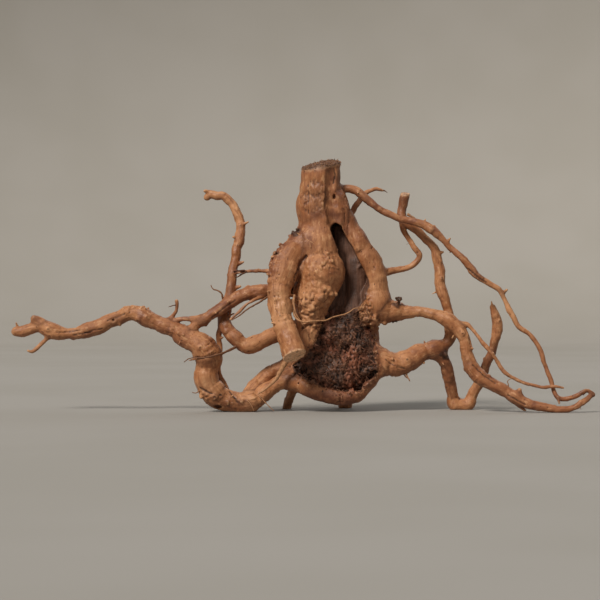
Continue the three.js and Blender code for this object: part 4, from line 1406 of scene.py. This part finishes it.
def rootlets_and_splinters(skin_mesh):
    fine = toned_wood("fine_roots", (84, 48, 32), (190, 140, 98))
    numbers = {"Sides": 7, "Bend": 0.0009}
    grown("fine_roots", rootlet_lines(), tube_growth(), numbers, fine)
    pale = toned_wood("pale_splinters", (92, 60, 42), (172, 124, 88))
    numbers = {"Density": 9e5, "Shortest": 0.0009, "Longest": 0.0026, "Thickness": 0.0004}
    numbers |= {"Lean": 1.1, "Seed": 4}
    tree = splinter_growth("frayed", "frayed")
    grown("frayed_splinters", skin_mesh.copy(), tree, numbers, pale)
    rusty = toned_wood("rotten_shreds", (52, 31, 22), (136, 88, 64))
    numbers = {"Density": 6e4, "Shortest": 0.003, "Longest": 0.009, "Thickness": 0.0006}
    numbers |= {"Lean": 1.5, "Seed": 9}
    tree = splinter_growth("shreds", "shredded")
    grown("heart_shreds", skin_mesh.copy(), tree, numbers, rusty)


# ---------------------------------------------------------------- stage

def stage():
    """A round pale floor whose edge turns up into a low wall all round."""
    radius, bend, height, turns, bends = 2.9, 1.0, 0.5, 96, 14
    profile = [(radius, 0.0)]
    for k in range(1, bends + 1):
        turn = k / bends * math.pi / 2
        profile.append((radius + bend * math.sin(turn), bend * (1 - math.cos(turn))))
    profile.append((radius + bend, bend + height))
    points = [(0.0, 0.0, 0.0)]
    for out, up in profile:
        for k in range(turns):
            angle = 2 * math.pi * k / turns
            points.append((out * math.cos(angle), out * math.sin(angle), up))
    faces = [(0, 1 + k, 1 + (k + 1) % turns) for k in range(turns)]
    for ring in range(len(profile) - 1):
        low, high = 1 + ring * turns, 1 + (ring + 1) * turns
        for k in range(turns):
            after = (k + 1) % turns
            faces.append((low + k, high + k, high + after, low + after))
    mesh = bpy.data.meshes.new("floor")
    mesh.from_pydata(points, [], faces)
    mesh.polygons.foreach_set("use_smooth", [True] * len(mesh.polygons))
    floor = linked("floor", mesh)
    n = Nodes("floor")
    cloth = n.noise(n.object_place(), 3.0, 2)
    colour = n.blend(n.span(cloth, 0.3, 0.7), linear(154, 150, 143), linear(158, 154, 148))
    mesh.materials.append(n.finish(colour, 0.9, [(cloth, 0.02, 0.001)]))


def soft_sun(name, source, strength, spread, colour):
    """Even light from the direction of source, with shadows as soft as spread, in degrees."""
    light = bpy.data.lights.new(name, "SUN")
    light.energy, light.color, light.angle = strength, colour, math.radians(spread)
    holder = linked(name, light)
    holder.rotation_euler = Vector(source).to_track_quat("Z", "Y").to_euler()


def lights():
    soft_sun("key", (-0.58, -0.8, 0.9), 2.95, 16, (1.0, 0.95, 0.88))
    soft_sun("back", (0.5, 0.9, 0.9), 0.55, 60, (0.95, 0.97, 1.0))
    world = bpy.data.worlds.new("sky")
    world.use_nodes = True
    world.node_tree.nodes["Background"].inputs["Color"].default_value = (0.80, 0.79, 0.77, 1)
    world.node_tree.nodes["Background"].inputs["Strength"].default_value = 0.34
    bpy.context.scene.world = world
    bpy.context.scene.view_settings.view_transform = "Standard"


def camera():
    """Level with the middle of the root, straight onto its best side."""
    distance, eye, sensor, wide = 2.0, 0.111, 36.0, 0.6
    lens = bpy.data.cameras.new("camera")
    lens.sensor_width = sensor
    lens.lens = sensor * distance / wide
    holder = linked("camera", lens)
    holder.location = (-0.001, -distance, eye)
    holder.rotation_euler = (math.pi / 2, 0, 0)
    bpy.context.scene.camera = holder


# ---------------------------------------------------------------- putting it together

camera()
lights()
stage()
skin = made_object("root_wood", root_skin(), weathered_wood())
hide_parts(NODE)
rootlets_and_splinters(skin.data)
